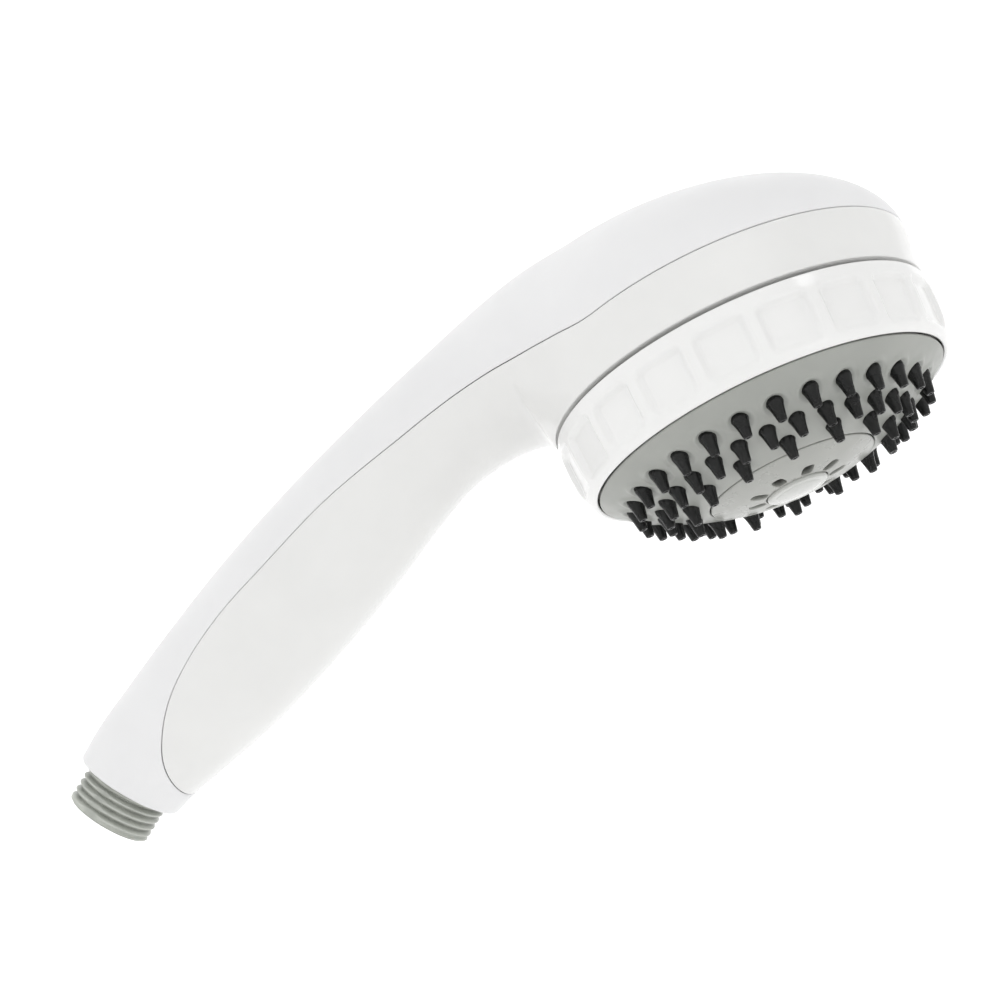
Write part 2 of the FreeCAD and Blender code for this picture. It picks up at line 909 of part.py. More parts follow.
def make_seals():
    """The O-rings of the tube's two ends and of the hub."""
    upright = FreeCAD.Rotation()
    lying = head_placement().Rotation.multiply(FreeCAD.Rotation(Vector(0, 1, 0), 90))
    socket = value_of("socket_height")
    low = [torus(f"low_ring_{z:g}", 6.13, 0.42, Vector(0, 0, z + 0.7), upright) for z in (25.2, 28.6)]
    high = [torus(f"high_ring_{-x:g}", 6.13, 0.42, from_head(x - 0.7, 0, socket), lying) for x in (-28.2, -31.6)]
    group("inlet_o_rings", low)
    group("socket_o_rings", high)
    hub = torus("hub_ring", 5.36, 0.6, from_head(0, 0, 9.8), head_placement().Rotation)
    named(hub, "hub_o_ring")


def make_tube():
    """The water tube: straight runs joined by tangent arcs, with seal grooves at both ends."""
    body = new_body("waterway_tube", in_head=False)
    low = Vector(0, 20.5, 0)
    turn_up = Vector(0, value_of("tube_turn_up"), 0)
    turn_in = Vector(value_of("tube_high_across"), value_of("tube_high"), 0)
    mouth = from_head(value_of("socket_end") - 0.1, 0, value_of("socket_height"))
    last = Vector(mouth.x, mouth.z, 0)
    path = new_sketch(body, "XZ_Plane")
    start = low
    for index, corner in enumerate((turn_up, turn_in)):
        ahead = (turn_in, last)[index]
        before = (corner - start).normalize()
        after = (ahead - corner).normalize()
        turn = before.getAngle(after)
        reach = value_of("tube_bend") * math.tan(turn / 2)
        begin = corner - before * reach
        finish = corner + after * reach
        middle = corner + (after - before).normalize() * (
            value_of("tube_bend") * (1 / math.cos(turn / 2) - 1)
        )
        path.addGeometry(Part.LineSegment(start, begin))
        path.addGeometry(Part.Arc(begin, middle, finish))
        start = finish
    path.addGeometry(Part.LineSegment(start, last))
    for kind, radius in (("AdditivePipe", "tube_radius"), ("SubtractivePipe", "tube_bore")):
        ring = new_sketch(body, "XY_Plane", "20.5")
        circles(ring, [("0", "0")], radius)
        pipe = body.newObject(f"PartDesign::{kind}", kind)
        pipe.Profile = ring
        pipe.Spine = path
        document.recompute()
    for z in (25.2, 28.6):
        groove(body, [("5.7", f"{z}"), ("7", f"{z}"), ("7", f"{z} + 1.4"), ("5.7", f"{z} + 1.4")])
    return body


def cut_tube_grooves(tube):
    """Seal grooves at the tube's upper end, which lies in the head frame."""
    rings = []
    for x in (-28.2, -31.6):
        lying = head_placement().Rotation.multiply(FreeCAD.Rotation(Vector(0, 1, 0), 90))
        centre = from_head(x - 1.4, 0, value_of("socket_height"))
        outer = document.addObject("Part::Cylinder", "groove_outer")
        inner = document.addObject("Part::Cylinder", "groove_inner")
        for item, radius in ((outer, 8.0), (inner, 5.7)):
            item.Radius = radius
            item.Height = 1.4
            item.Placement = FreeCAD.Placement(centre, lying)
        rings.append(combine("Cut", "groove_ring", outer, inner))
    parts.remove(tube)
    tube.Label = "tube_blank"
    named(combine("Cut", "tube_with_grooves", tube, fuse_all("groove_rings", rings)), "waterway_tube")


def make_inlet_connector():
    """The threaded inlet with its bore, flange, clip groove and tube socket."""
    body = new_body("inlet_connector", in_head=False)
    revolve(
        body,
        [
            ("inlet_mouth", "0"),
            ("thread_radius - thread_bevel", "0"),
            ("thread_radius", "thread_bevel"),
            ("thread_radius", "thread_length"),
            ("10.2", "thread_length"),
            ("10.2", "16.5"),
            ("10.9", "16.5"),
            ("10.9", "18.5"),
            ("9.6", "18.5"),
            ("9.6", "22"),
            ("8.7", "22"),
            ("8.7", "23.6"),
            ("9.6", "23.6"),
            ("9.6", "34"),
            ("tube_radius + running_fit", "34"),
            ("tube_radius + running_fit", "20"),
            ("4.8", "20"),
            ("4.8", "14"),
            ("inlet_bore", "14"),
            ("inlet_bore", "mouth_depth"),
            ("inlet_mouth", "mouth_depth"),
        ],
    )
    sketch = new_sketch(body, "XZ_Plane")
    deep = "thread_radius - thread_depth"
    half = "thread_pitch * 0.46"
    polygon(
        sketch,
        [
            (deep, "-thread_pitch"),
            ("thread_radius + 0.05", f"-thread_pitch - {half}"),
            ("thread_radius + 0.05", f"-thread_pitch + {half}"),
        ],
    )
    before = body.Shape.Volume
    thread = body.newObject("PartDesign::SubtractiveHelix", "Thread")
    thread.Profile = sketch
    thread.ReferenceAxis = (datum(body, "Z_Axis"), [""])
    thread.Mode = 0
    thread.Pitch = value_of("thread_pitch")
    thread.setExpression("Pitch", sized("thread_pitch"))
    thread.Height = value_of("thread_pitch * 5.5")
    thread.setExpression("Height", sized("thread_pitch * 5.5"))
    document.recompute()
    if body.Shape.Volume >= before:
        raise ValueError("the thread cut nothing")
    for side in ("", "-"):
        pocket(
            body,
            "thread_length",
            "20",
            corners=[
                ("-8", f"{side}thread_flat"),
                ("8", f"{side}thread_flat"),
                ("8", f"{side}(thread_flat + 3)"),
                ("-8", f"{side}(thread_flat + 3)"),
            ],
        )


def make_inlet_inserts():
    """The strainer and the flow regulator in the inlet bore, and the clip on the connector."""
    strainer = new_body("inlet_strainer", in_head=False)
    revolve(strainer, [("0", "4"), ("6.4", "4"), ("6.4", "7"), ("5.4", "7"), ("5.4", "4.6"), ("0", "4.6")])
    for offset, count in (("1.6", "6"), ("3", "12"), ("4.4", "18")):
        repeat(strainer, pocket(strainer, "5", "3", [(offset, "0")], "0.5"), count)
    regulator = new_body("flow_regulator", in_head=False)
    revolve(regulator, [("1.4", "10"), ("6.4", "10"), ("6.4", "13.9"), ("3", "13.9"), ("1.4", "12")])
    clip = new_body("tail_clip", in_head=False)
    revolve(clip, [("8.8", "22.1"), ("10.2", "22.1"), ("10.2", "23.5"), ("8.8", "23.5")])
    pocket(clip, "25", "5", corners=[("-8", "-14"), ("8", "-14"), ("8", "0"), ("-8", "0")])


def make_screws():
    """Screws, each a pan head and a shank, in groups of identical solids."""
    hub = new_body("hub_screw")
    revolve(
        hub,
        [
            ("0", "-3.4"),
            ("4.4", "-3.4"),
            ("5.2", "-2.6"),
            ("5.2", "-0.45"),
            ("1.85", "-0.45"),
            ("1.85", "14"),
            ("0", "14"),
        ],
    )
    washer = new_body("thrust_washer")
    revolve(washer, [("2.3", "-0.45"), ("6.8", "-0.45"), ("6.8", "0.55"), ("2.3", "0.55")])
    valve = []
    for index, angle in enumerate(POST_ANGLES):
        x = POST_OFFSET * math.cos(math.radians(angle))
        y = POST_OFFSET * math.sin(math.radians(angle))
        head = cylinder(f"valve_screw_head_{index}", 2.8, 16.2, 2, x, y)
        shank = cylinder(f"valve_screw_shank_{index}", 1.45, 18, 12.5, x, y)
        valve.append(fuse_all(f"valve_screw_{index}", [head, shank]))
    group("valve_screws", valve)
    chamber = []
    for index in range(int(value_of("port_count"))):
        angle = math.radians(45 + 360 * index / value_of("port_count"))
        x = 22.3 * math.cos(angle)
        y = 22.3 * math.sin(angle)
        head = cylinder(f"chamber_screw_head_{index}", 2.6, 4.4, 2.1, x, y)
        shank = cylinder(f"chamber_screw_shank_{index}", 1.25, 6, 5.3, x, y)
        chamber.append(fuse_all(f"chamber_screw_{index}", [head, shank]))
    group("chamber_screws", chamber)


def check_and_write():
    """Stop on any failed object, then write each sub-part."""
    document.recompute()
    for item in document.Objects:
        if {"Invalid", "Error"} & set(item.State):
            raise ValueError(f"{item.Label} failed: {item.State}")
    os.makedirs("parts", exist_ok=True)
    for item in parts:
        shape = item.Shape
        if shape.isNull() or not shape.isValid() or not shape.Solids:
            raise ValueError(f"{item.Label} has no valid solid")
        print(f"{item.Label:20s} solids {len(shape.Solids)} volume {shape.Volume:9.1f}")
        shape.exportStep(f"parts/{item.Label}.step")


make_shells()
make_selector_ring()
make_face_plate()
make_nozzle_mat()
make_distributor_disc()
make_spray_chamber()
make_centre_disc()
make_centre_cap()
make_jet_plate()
make_massage_wheel()
make_valve_body()
make_port_seal()
make_detent_pin()
coil("detent_spring", 1.45, 0.25, 21.2, 27.9, 6, 0, value_of("detent_offset"))
coil("port_seal_spring", 3.2, 0.4, 18.4, 39.3, 6, -value_of("port_offset"), 0)
make_seals()
cut_tube_grooves(make_tube())
make_inlet_connector()
make_inlet_inserts()
make_screws()
check_and_write()
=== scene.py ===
"""Visual model of a handheld shower head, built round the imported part.

Lengths held by the classes are in millimetres, and every finished mesh is in metres in the row
frame. The head has a frame of its own: its origin is the centre of the spray face's rim, its Z
runs along the head's axis towards the back, and its X points away from the handle.
"""

import json
import logging
import math
from collections.abc import Callable, Sequence
from dataclasses import dataclass, field
from enum import Enum
from typing import ClassVar

import bpy
import numpy as np
from mathutils import Matrix, Vector
from mathutils.kdtree import KDTree


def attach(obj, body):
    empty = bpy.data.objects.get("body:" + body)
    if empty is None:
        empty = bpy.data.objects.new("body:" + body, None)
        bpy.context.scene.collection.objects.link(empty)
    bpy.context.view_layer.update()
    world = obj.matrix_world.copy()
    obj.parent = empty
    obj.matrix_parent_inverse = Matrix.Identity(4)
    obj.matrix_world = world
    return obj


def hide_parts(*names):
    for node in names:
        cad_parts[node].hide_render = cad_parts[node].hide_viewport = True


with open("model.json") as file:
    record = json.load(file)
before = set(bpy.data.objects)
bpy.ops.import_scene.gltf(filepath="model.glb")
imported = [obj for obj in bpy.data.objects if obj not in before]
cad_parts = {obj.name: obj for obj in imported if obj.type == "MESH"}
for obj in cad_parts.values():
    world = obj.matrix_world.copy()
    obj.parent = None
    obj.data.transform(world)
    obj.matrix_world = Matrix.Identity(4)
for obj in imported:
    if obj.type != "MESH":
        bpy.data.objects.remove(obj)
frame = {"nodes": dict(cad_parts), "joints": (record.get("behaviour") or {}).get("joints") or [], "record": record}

LOG = logging.getLogger("handset")
MM = 0.001
CASING = "casing"
SPRAY_HEAD = "spray_head"
# Distances from a rounded border at which a skin has a row of points.
BORDER_ROWS = np.array([0.0, 0.07, 0.18, 0.34, 0.6])
# Border edges whose middle is this much past the reach are left out of the search.
EDGE_MARGIN = 2.0
# The most of a side that the rounding of one corner takes.
CORNER_SHARE = 0.45
# How many points a smooth line is drawn with.
LINE_POINTS = 2400
Faces = list[tuple[int, ...]]


# ------------------------------------------------------------------ frames and curves


@dataclass(frozen=True)
class HeadFrame:
    """Where the head lies in the row frame."""

    origin: tuple[float, float, float]
    back: tuple[float, float, float]

    @classmethod
    def from_joint(cls, name: str) -> "HeadFrame":
        """Read the head's place from the joint that it turns on.

        Args:
            name: the joint's name in the record.

        Returns:
            The head frame.
        """
        joint = next(item for item in frame["joints"] if item["name"] == name)
        origin = tuple(value / MM for value in joint["pos_m"])
        return cls(origin, tuple(-value for value in joint["axis"]))

    def axes(self) -> np.ndarray:
        """The head's X, Y and Z directions in the row frame, one to a row.

        Returns:
            A 3 by 3 array of unit vectors.
        """
        back = np.array(self.back) / np.linalg.norm(self.back)
        side = np.array([0.0, 1.0, 0.0])
        return np.array([np.cross(side, back), side, back])

    def to_row(self, points: np.ndarray) -> np.ndarray:
        """Head-frame points as row-frame points, both in millimetres."""
        return np.asarray(points, float) @ self.axes() + np.array(self.origin)

    def matrix(self) -> Matrix:
        """The transform of a mesh from the head frame to the row frame, in metres."""
        turn = Matrix([list(row) for row in self.axes().T]).to_4x4()
        return Matrix.Translation(Vector(self.origin) * MM) @ turn


def through(knots: np.ndarray, values: np.ndarray, at: np.ndarray) -> np.ndarray:
    """A smooth curve through values.

    Args:
        knots: rising positions along the curve.
        values: one row of values for each knot.
        at: the positions wanted.

    Returns:
        One row of values for each wanted position.
    """
    knots = np.asarray(knots, float)
    values = np.asarray(values, float).reshape(len(knots), -1)
    gaps = np.diff(knots)[:, None]
    rates = np.diff(values, axis=0) / gaps
    slopes = np.vstack([rates[:1], rates[:1], rates[1:]])
    slopes[1:-1] = (rates[:-1] * gaps[1:] + rates[1:] * gaps[:-1]) / (gaps[:-1] + gaps[1:])
    slopes[-1] = rates[-1]
    index = np.clip(np.searchsorted(knots, at) - 1, 0, len(knots) - 2)
    width = gaps[index]
    t = (np.asarray(at, float)[:, None] - knots[index][:, None]) / width
    start, finish = values[index], values[index + 1]
    return (
        start * (2 * t**3 - 3 * t**2 + 1)
        + slopes[index] * width * (t**3 - 2 * t**2 + t)
        + finish * (3 * t**2 - 2 * t**3)
        + slopes[index + 1] * width * (t**3 - t**2)
    )


def run_of(points: np.ndarray) -> np.ndarray:
    """The distance along a line of points, from its first."""
    steps = np.linalg.norm(np.diff(points, axis=0), axis=1)
    return np.concatenate([[0.0], np.cumsum(steps)])


def eased(values: np.ndarray, low: float, high: float) -> np.ndarray:
    """0 below low, 1 above high, with a smooth step between."""
    share = np.clip((values - low) / (high - low), 0.0, 1.0)
    return share * share * (3 - 2 * share)


# ------------------------------------------------------------------ meshes


def grid_faces(rows: int, columns: int, start: int = 0) -> Faces:
    """Quads of a grid whose points are stored row by row.

    Args:
        rows: how many rows of points.
        columns: how many points in a row.
        start: the first point's number.

    Returns:
        The quads.
    """
    faces = []
    for row in range(rows - 1):
        for column in range(columns - 1):
            low = start + row * columns + column
            faces.append((low, low + 1, low + columns + 1, low + columns))
    return faces


def weld(points: np.ndarray, faces: Faces, reach: float = 0.001) -> tuple[np.ndarray, Faces]:
    """Merge points that coincide and drop the faces that close up.

    Args:
        points: points in millimetres.
        faces: faces over those points.
        reach: the distance under which points are one.

    Returns:
        The merged points and the faces that are left.
    """
    tree = KDTree(len(points))
    for index, point in enumerate(points):
        tree.insert(point, index)
    tree.balance()
    owner = np.full(len(points), -1)
    for index, point in enumerate(points):
        if owner[index] < 0:
            near = [other for _, other, _ in tree.find_range(point, reach) if owner[other] < 0]
            owner[near] = index
    first, inverse = np.unique(owner, return_inverse=True)
    kept = []
    for face in faces:
        ring = []
        for index in face:
            merged = int(inverse[index])
            if merged not in ring:
                ring.append(merged)
        if len(ring) > 2:
            kept.append(tuple(ring))
    return points[first], kept


def normals_of(points: np.ndarray, faces: Faces) -> np.ndarray:
    """A unit normal for every point, from the faces round it.

    Args:
        points: the points.
        faces: triangles and quads over them.

    Returns:
        One normal for each point.
    """
    sums = np.zeros_like(points)
    for count in (3, 4):
        group = np.array([face for face in faces if len(face) == count], dtype=int)
        if len(group) == 0:
            continue
        corners = points[group]
        across = corners[:, 2] - corners[:, 0]
        other = corners[:, -1] - corners[:, 1]
        flat = np.cross(across, other)
        for corner in range(count):
            np.add.at(sums, group[:, corner], flat)
    lengths = np.linalg.norm(sums, axis=1, keepdims=True)
    return sums / np.maximum(lengths, 1e-12)


def open_edges(faces: Faces) -> list[tuple[int, int]]:
    """The edges that only one face uses, in that face's direction.

    Args:
        faces: the faces.

    Returns:
        The edges' two ends.
    """
    seen: dict[tuple[int, int], int] = {}
    for face in faces:
        for start, finish in zip(face, face[1:] + face[:1]):
            key = (min(start, finish), max(start, finish))
            seen[key] = seen.get(key, 0) + 1
    return [
        (start, finish)
        for face in faces
        for start, finish in zip(face, face[1:] + face[:1])
        if seen[(min(start, finish), max(start, finish))] == 1
    ]


def edge_distance(points: np.ndarray, edges: list[tuple[int, int]], reach: float) -> np.ndarray:
    """How far each point is from a set of edges, up to a reach.

    Args:
        points: the points.
        edges: the edges, as numbers of points.
        reach: the most that is told apart.

    Returns:
        One distance for each point.
    """
    starts = points[[edge[0] for edge in edges]]
    runs = points[[edge[1] for edge in edges]] - starts
    squares = np.maximum((runs**2).sum(1), 1e-12)
    middle = starts + runs / 2
    distance = np.full(len(points), reach)
    for index, point in enumerate(points):
        near = np.nonzero(np.abs(middle - point).max(1) < reach + EDGE_MARGIN)[0]
        if len(near) == 0:
            continue
        offset = point - starts[near]
        share = np.clip((offset * runs[near]).sum(1) / squares[near], 0.0, 1.0)
        gap = offset - runs[near] * share[:, None]
        distance[index] = min(reach, float(np.sqrt((gap**2).sum(1).min())))
    return distance


@dataclass
class Lip:
    """How one open border of a skin is finished when the skin is given a wall."""

    picks: Callable[[np.ndarray], np.ndarray]
    rounding: float
    path: Callable[[np.ndarray], np.ndarray] | None = None


def everywhere(middles: np.ndarray) -> np.ndarray:
    """Picks every edge of a border."""
    return np.full(len(middles), True)


def thicken(points: np.ndarray, faces: Faces, wall: float, lips: Sequence[Lip]) -> tuple[np.ndarray, Faces]:
    """Turn an open skin into a closed shell with rounded borders.

    Args:
        points: the skin's points in millimetres.
        faces: the skin's faces, facing outwards.
        wall: the wall's thickness.
        lips: the borders; an edge belongs to the first lip that picks its middle.

    Returns:
        The shell's points and faces.
    """
    normals = normals_of(points, faces)
    edges = open_edges(faces)
    middles = (points[[a for a, _ in edges]] + points[[b for _, b in edges]]) / 2
    owner = np.full(len(edges), -1)
    for index in reversed(range(len(lips))):
        owner[lips[index].picks(middles)] = index
    inner = points - normals * wall
    outer = points.copy()
    for index, lip in enumerate(lips):
        mine = [edge for edge, who in zip(edges, owner) if who == index]
        if lip.rounding > 0 and mine:
            gap = edge_distance(points, mine, lip.rounding)
            drop = lip.rounding - np.sqrt(np.maximum(lip.rounding**2 - (lip.rounding - gap) ** 2, 0))
            outer -= normals * drop[:, None]
    size = len(points)
    solid = [outer, inner]
    result = list(faces) + [tuple(size + index for index in reversed(face)) for face in faces]
    total = 2 * size
    for index, lip in enumerate(lips):
        mine = [edge for edge, who in zip(edges, owner) if who == index]
        if not mine:
            continue
        rim = sorted({end for edge in mine for end in edge})
        place = {end: number for number, end in enumerate(rim)}
        levels = [{end: end for end in rim}]
        if lip.path is not None:
            rows = lip.path(points[rim])
            for row in range(rows.shape[1]):
                solid.append(rows[:, row])
                levels.append({end: total + place[end] for end in rim})
                total += len(rim)
        levels.append({end: size + end for end in rim})
        for start, finish in mine:
            for near, far in zip(levels, levels[1:]):
                result.append((near[finish], near[start], far[start], far[finish]))
    return np.vstack(solid), result


def lathe(profile: np.ndarray, segments: int, closed: bool = True) -> tuple[np.ndarray, Faces]:
    """Turn a profile of (radius, height) about Z.

    Args:
        profile: the corners, with the material on their left as the profile is walked.
        segments: how many steps round.
        closed: whether the profile's last corner joins its first.

    Returns:
        The points and faces.
    """
    angles = np.linspace(0, 2 * math.pi, segments, endpoint=False)
    radius, height = profile[:, 0][:, None], profile[:, 1][:, None]
    points = np.stack(
        [radius * np.cos(angles), radius * np.sin(angles), height * np.ones_like(angles)], -1
    ).reshape(-1, 3)
    faces = []
    rows = len(profile)
    for row in range(rows if closed else rows - 1):
        low, high = row * segments, (row + 1) % rows * segments
        for column in range(segments):
            beside = (column + 1) % segments
            faces.append((low + column, low + beside, high + beside, high + column))
    return weld(points, faces)


def rounded(corners: Sequence[tuple[float, float, float]], steps: int = 4) -> np.ndarray:
    """A closed outline with each corner rounded.

    Args:
        corners: across, up and rounding radius of each corner.
        steps: how many steps each rounding has.

    Returns:
        The outline's points.
    """
    outline = []
    count = len(corners)
    for index, (across, up, radius) in enumerate(corners):
        here = np.array([across, up])
        if radius <= 0:
            outline.append(here)
            continue
        before = np.array(corners[index - 1][:2]) - here
        after = np.array(corners[(index + 1) % count][:2]) - here
        reach_before = min(radius, CORNER_SHARE * np.linalg.norm(before))
        reach_after = min(radius, CORNER_SHARE * np.linalg.norm(after))
        start = here + before / np.linalg.norm(before) * reach_before
        finish = here + after / np.linalg.norm(after) * reach_after
        for step in range(steps + 1):
            t = step / steps
            outline.append(start * (1 - t) ** 2 + 2 * here * t * (1 - t) + finish * t**2)
    return np.array(outline)


def piece(name: str, points: np.ndarray, faces: Faces, transform: Matrix | None = None) -> bpy.types.Object:
    """A smooth mesh object.

    Args:
        name: the piece's name.
        points: its points in millimetres.
        faces: its faces.
        transform: from the points' own frame to the row frame, in metres.

    Returns:
        The object, at the origin.
    """
    mesh = bpy.data.meshes.new(name)
    mesh.from_pydata((np.asarray(points) * MM).tolist(), [], faces)
    mesh.validate()
    if transform is not None:
        mesh.transform(transform)
    mesh.polygons.foreach_set("use_smooth", [True] * len(mesh.polygons))
    mesh.update()
    item = bpy.data.objects.new(name, mesh)
    bpy.context.scene.collection.objects.link(item)
    return item


def mesh_arrays(item: bpy.types.Object) -> tuple[np.ndarray, Faces]:
    """An object's points in millimetres, and its faces.

    Args:
        item: the object.

    Returns:
        The points and faces.
    """
    flat = np.zeros(len(item.data.vertices) * 3)
    item.data.vertices.foreach_get("co", flat)
    return flat.reshape(-1, 3) / MM, [tuple(face.vertices) for face in item.data.polygons]


# ------------------------------------------------------------------ geometry nodes


class Recipe:
    """A geometry node tree with named inputs that is run once and leaves a plain mesh."""

    def __init__(self, name: str) -> None:
        """Start an empty tree with a geometry input and output.

        Args:
            name: the tree's name.
        """
        self.tree = bpy.data.node_groups.new(name, "GeometryNodeTree")
        face = self.tree.interface
        face.new_socket("Geometry", in_out="INPUT", socket_type="NodeSocketGeometry")
        face.new_socket("Geometry", in_out="OUTPUT", socket_type="NodeSocketGeometry")
        self.values: dict[str, float] = {}
        self.start = self.tree.nodes.new("NodeGroupInput")
        self.end = self.tree.nodes.new("NodeGroupOutput")

    def size(self, name: str, value: float, whole: bool = False) -> bpy.types.NodeSocket:
        """Add a named input.

        Args:
            name: the input's name.
            value: its value.
            whole: whether it is a count.

        Returns:
            The socket inside the tree.
        """
        kind = "NodeSocketInt" if whole else "NodeSocketFloat"
        self.tree.interface.new_socket(name, in_out="INPUT", socket_type=kind)
        self.values[name] = int(value) if whole else float(value)
        return self.start.outputs[name]

    def add(
        self, kind: str, inputs: dict[str | int, object] | None = None, **settings: object
    ) -> bpy.types.Node:
        """Add a node.

        Args:
            kind: the node's type.
            inputs: a value or a socket for each input, by name or number.
            settings: the node's own properties.

        Returns:
            The node.
        """
        node = self.tree.nodes.new(kind)
        for key, value in settings.items():
            setattr(node, key, value)
        for key, value in (inputs or {}).items():
            if isinstance(value, bpy.types.NodeSocket):
                self.tree.links.new(value, node.inputs[key])
            else:
                node.inputs[key].default_value = value
        return node

    def math(self, operation: str, *terms: object) -> bpy.types.NodeSocket:
        """The result of a maths node on up to three terms."""
        return self.add("ShaderNodeMath", dict(enumerate(terms)), operation=operation).outputs[0]

    def plus(self, first: object, second: object) -> bpy.types.NodeSocket:
        """The sum of two terms."""
        return self.math("ADD", first, second)

    def minus(self, first: object, second: object) -> bpy.types.NodeSocket:
        """The first term less the second."""
        return self.math("SUBTRACT", first, second)

    def times(self, first: object, second: object) -> bpy.types.NodeSocket:
        """The product of two terms."""
        return self.math("MULTIPLY", first, second)

    def over(self, first: object, second: object) -> bpy.types.NodeSocket:
        """The first term divided by the second."""
        return self.math("DIVIDE", first, second)

    def ramp(self, value: object, start: object, finish: object, rising: bool) -> bpy.types.NodeSocket:
        """A share that goes between 0 and 1 from one value to another, and is level outside them.

        Args:
            value: the value that the share follows.
            start: where the ramp starts.
            finish: where the ramp ends.
            rising: whether it goes up.

        Returns:
            The share.
        """
        ends = {"To Min": 0.0, "To Max": 1.0} if rising else {"To Min": 1.0, "To Max": 0.0}
        inputs = {"Value": value, "From Min": start, "From Max": finish, **ends}
        return self.add("ShaderNodeMapRange", inputs).outputs[0]

    def vector(self, **parts: object) -> bpy.types.NodeSocket:
        """A vector from its X, Y and Z; one left out is 0."""
        return self.add("ShaderNodeCombineXYZ", parts).outputs[0]

    def placed(self, shape: bpy.types.NodeSocket, **change: object) -> bpy.types.NodeSocket:
        """A shape with a Translation or a Rotation."""
        return self.add("GeometryNodeTransform", {"Geometry": shape, **change}).outputs[0]

    def joined(self, name: str, sockets: Sequence[bpy.types.NodeSocket]) -> bpy.types.NodeSocket:
        """Join several geometries.

        Args:
            name: the node's label.
            sockets: the geometries.

        Returns:
            The joined geometry.
        """
        node = self.tree.nodes.new("GeometryNodeJoinGeometry")
        node.label = name
        for socket in sockets:
            self.tree.links.new(socket, node.inputs[0])
        return node.outputs[0]

    def run(self, item: bpy.types.Object, shape: bpy.types.NodeSocket, finish: bpy.types.Material) -> None:
        """Realize the shape, give it its material and leave it on the object as a plain mesh.

        Args:
            item: the object that carries the tree.
            shape: the geometry that the tree made.
            finish: its material.
        """
        real = self.add("GeometryNodeRealizeInstances", {0: shape}).outputs[0]
        merged = self.add("GeometryNodeMergeByDistance", {"Geometry": real, "Distance": 2e-6}).outputs[0]
        dressed = self.add("GeometryNodeSetMaterial", {"Geometry": merged, "Material": finish}).outputs[0]
        self.tree.links.new(dressed, self.end.inputs[0])
        modifier = item.modifiers.new("recipe", "NODES")
        modifier.node_group = self.tree
        for socket in self.tree.interface.items_tree:
            if socket.in_out == "INPUT" and socket.name in self.values:
                modifier[socket.identifier] = self.values[socket.name]
        bpy.context.view_layer.update()
        graph = bpy.context.evaluated_depsgraph_get()
        plain = bpy.data.meshes.new_from_object(item.evaluated_get(graph), depsgraph=graph)
        item.modifiers.clear()
        item.data = plain
        plain.polygons.foreach_set("use_smooth", [True] * len(plain.polygons))


def around(recipe: Recipe, shape: bpy.types.NodeSocket, count: bpy.types.NodeSocket) -> bpy.types.NodeSocket:
    """Copies of a shape turned evenly round Z.

    Args:
        recipe: the tree to add to.
        shape: the geometry to repeat.
        count: how many.

    Returns:
        The instances.
    """
    spots = recipe.add("GeometryNodeMeshLine", {"Count": count, "Offset": (0.0, 0.0, 0.0)}, mode="OFFSET")
    share = recipe.over(recipe.add("GeometryNodeInputIndex").outputs[0], count)
    turn = recipe.vector(Z=recipe.times(share, 2 * math.pi))
    inputs = {"Points": spots.outputs[0], "Instance": shape, "Rotation": turn}
    return recipe.add("GeometryNodeInstanceOnPoints", inputs).outputs[0]


# ------------------------------------------------------------------ finishes


class Grain(Enum):
    """How a moulded surface was finished in its tool."""

    POLISHED = "polished"
    SATIN = "satin"
    BRUSHED = "brushed"


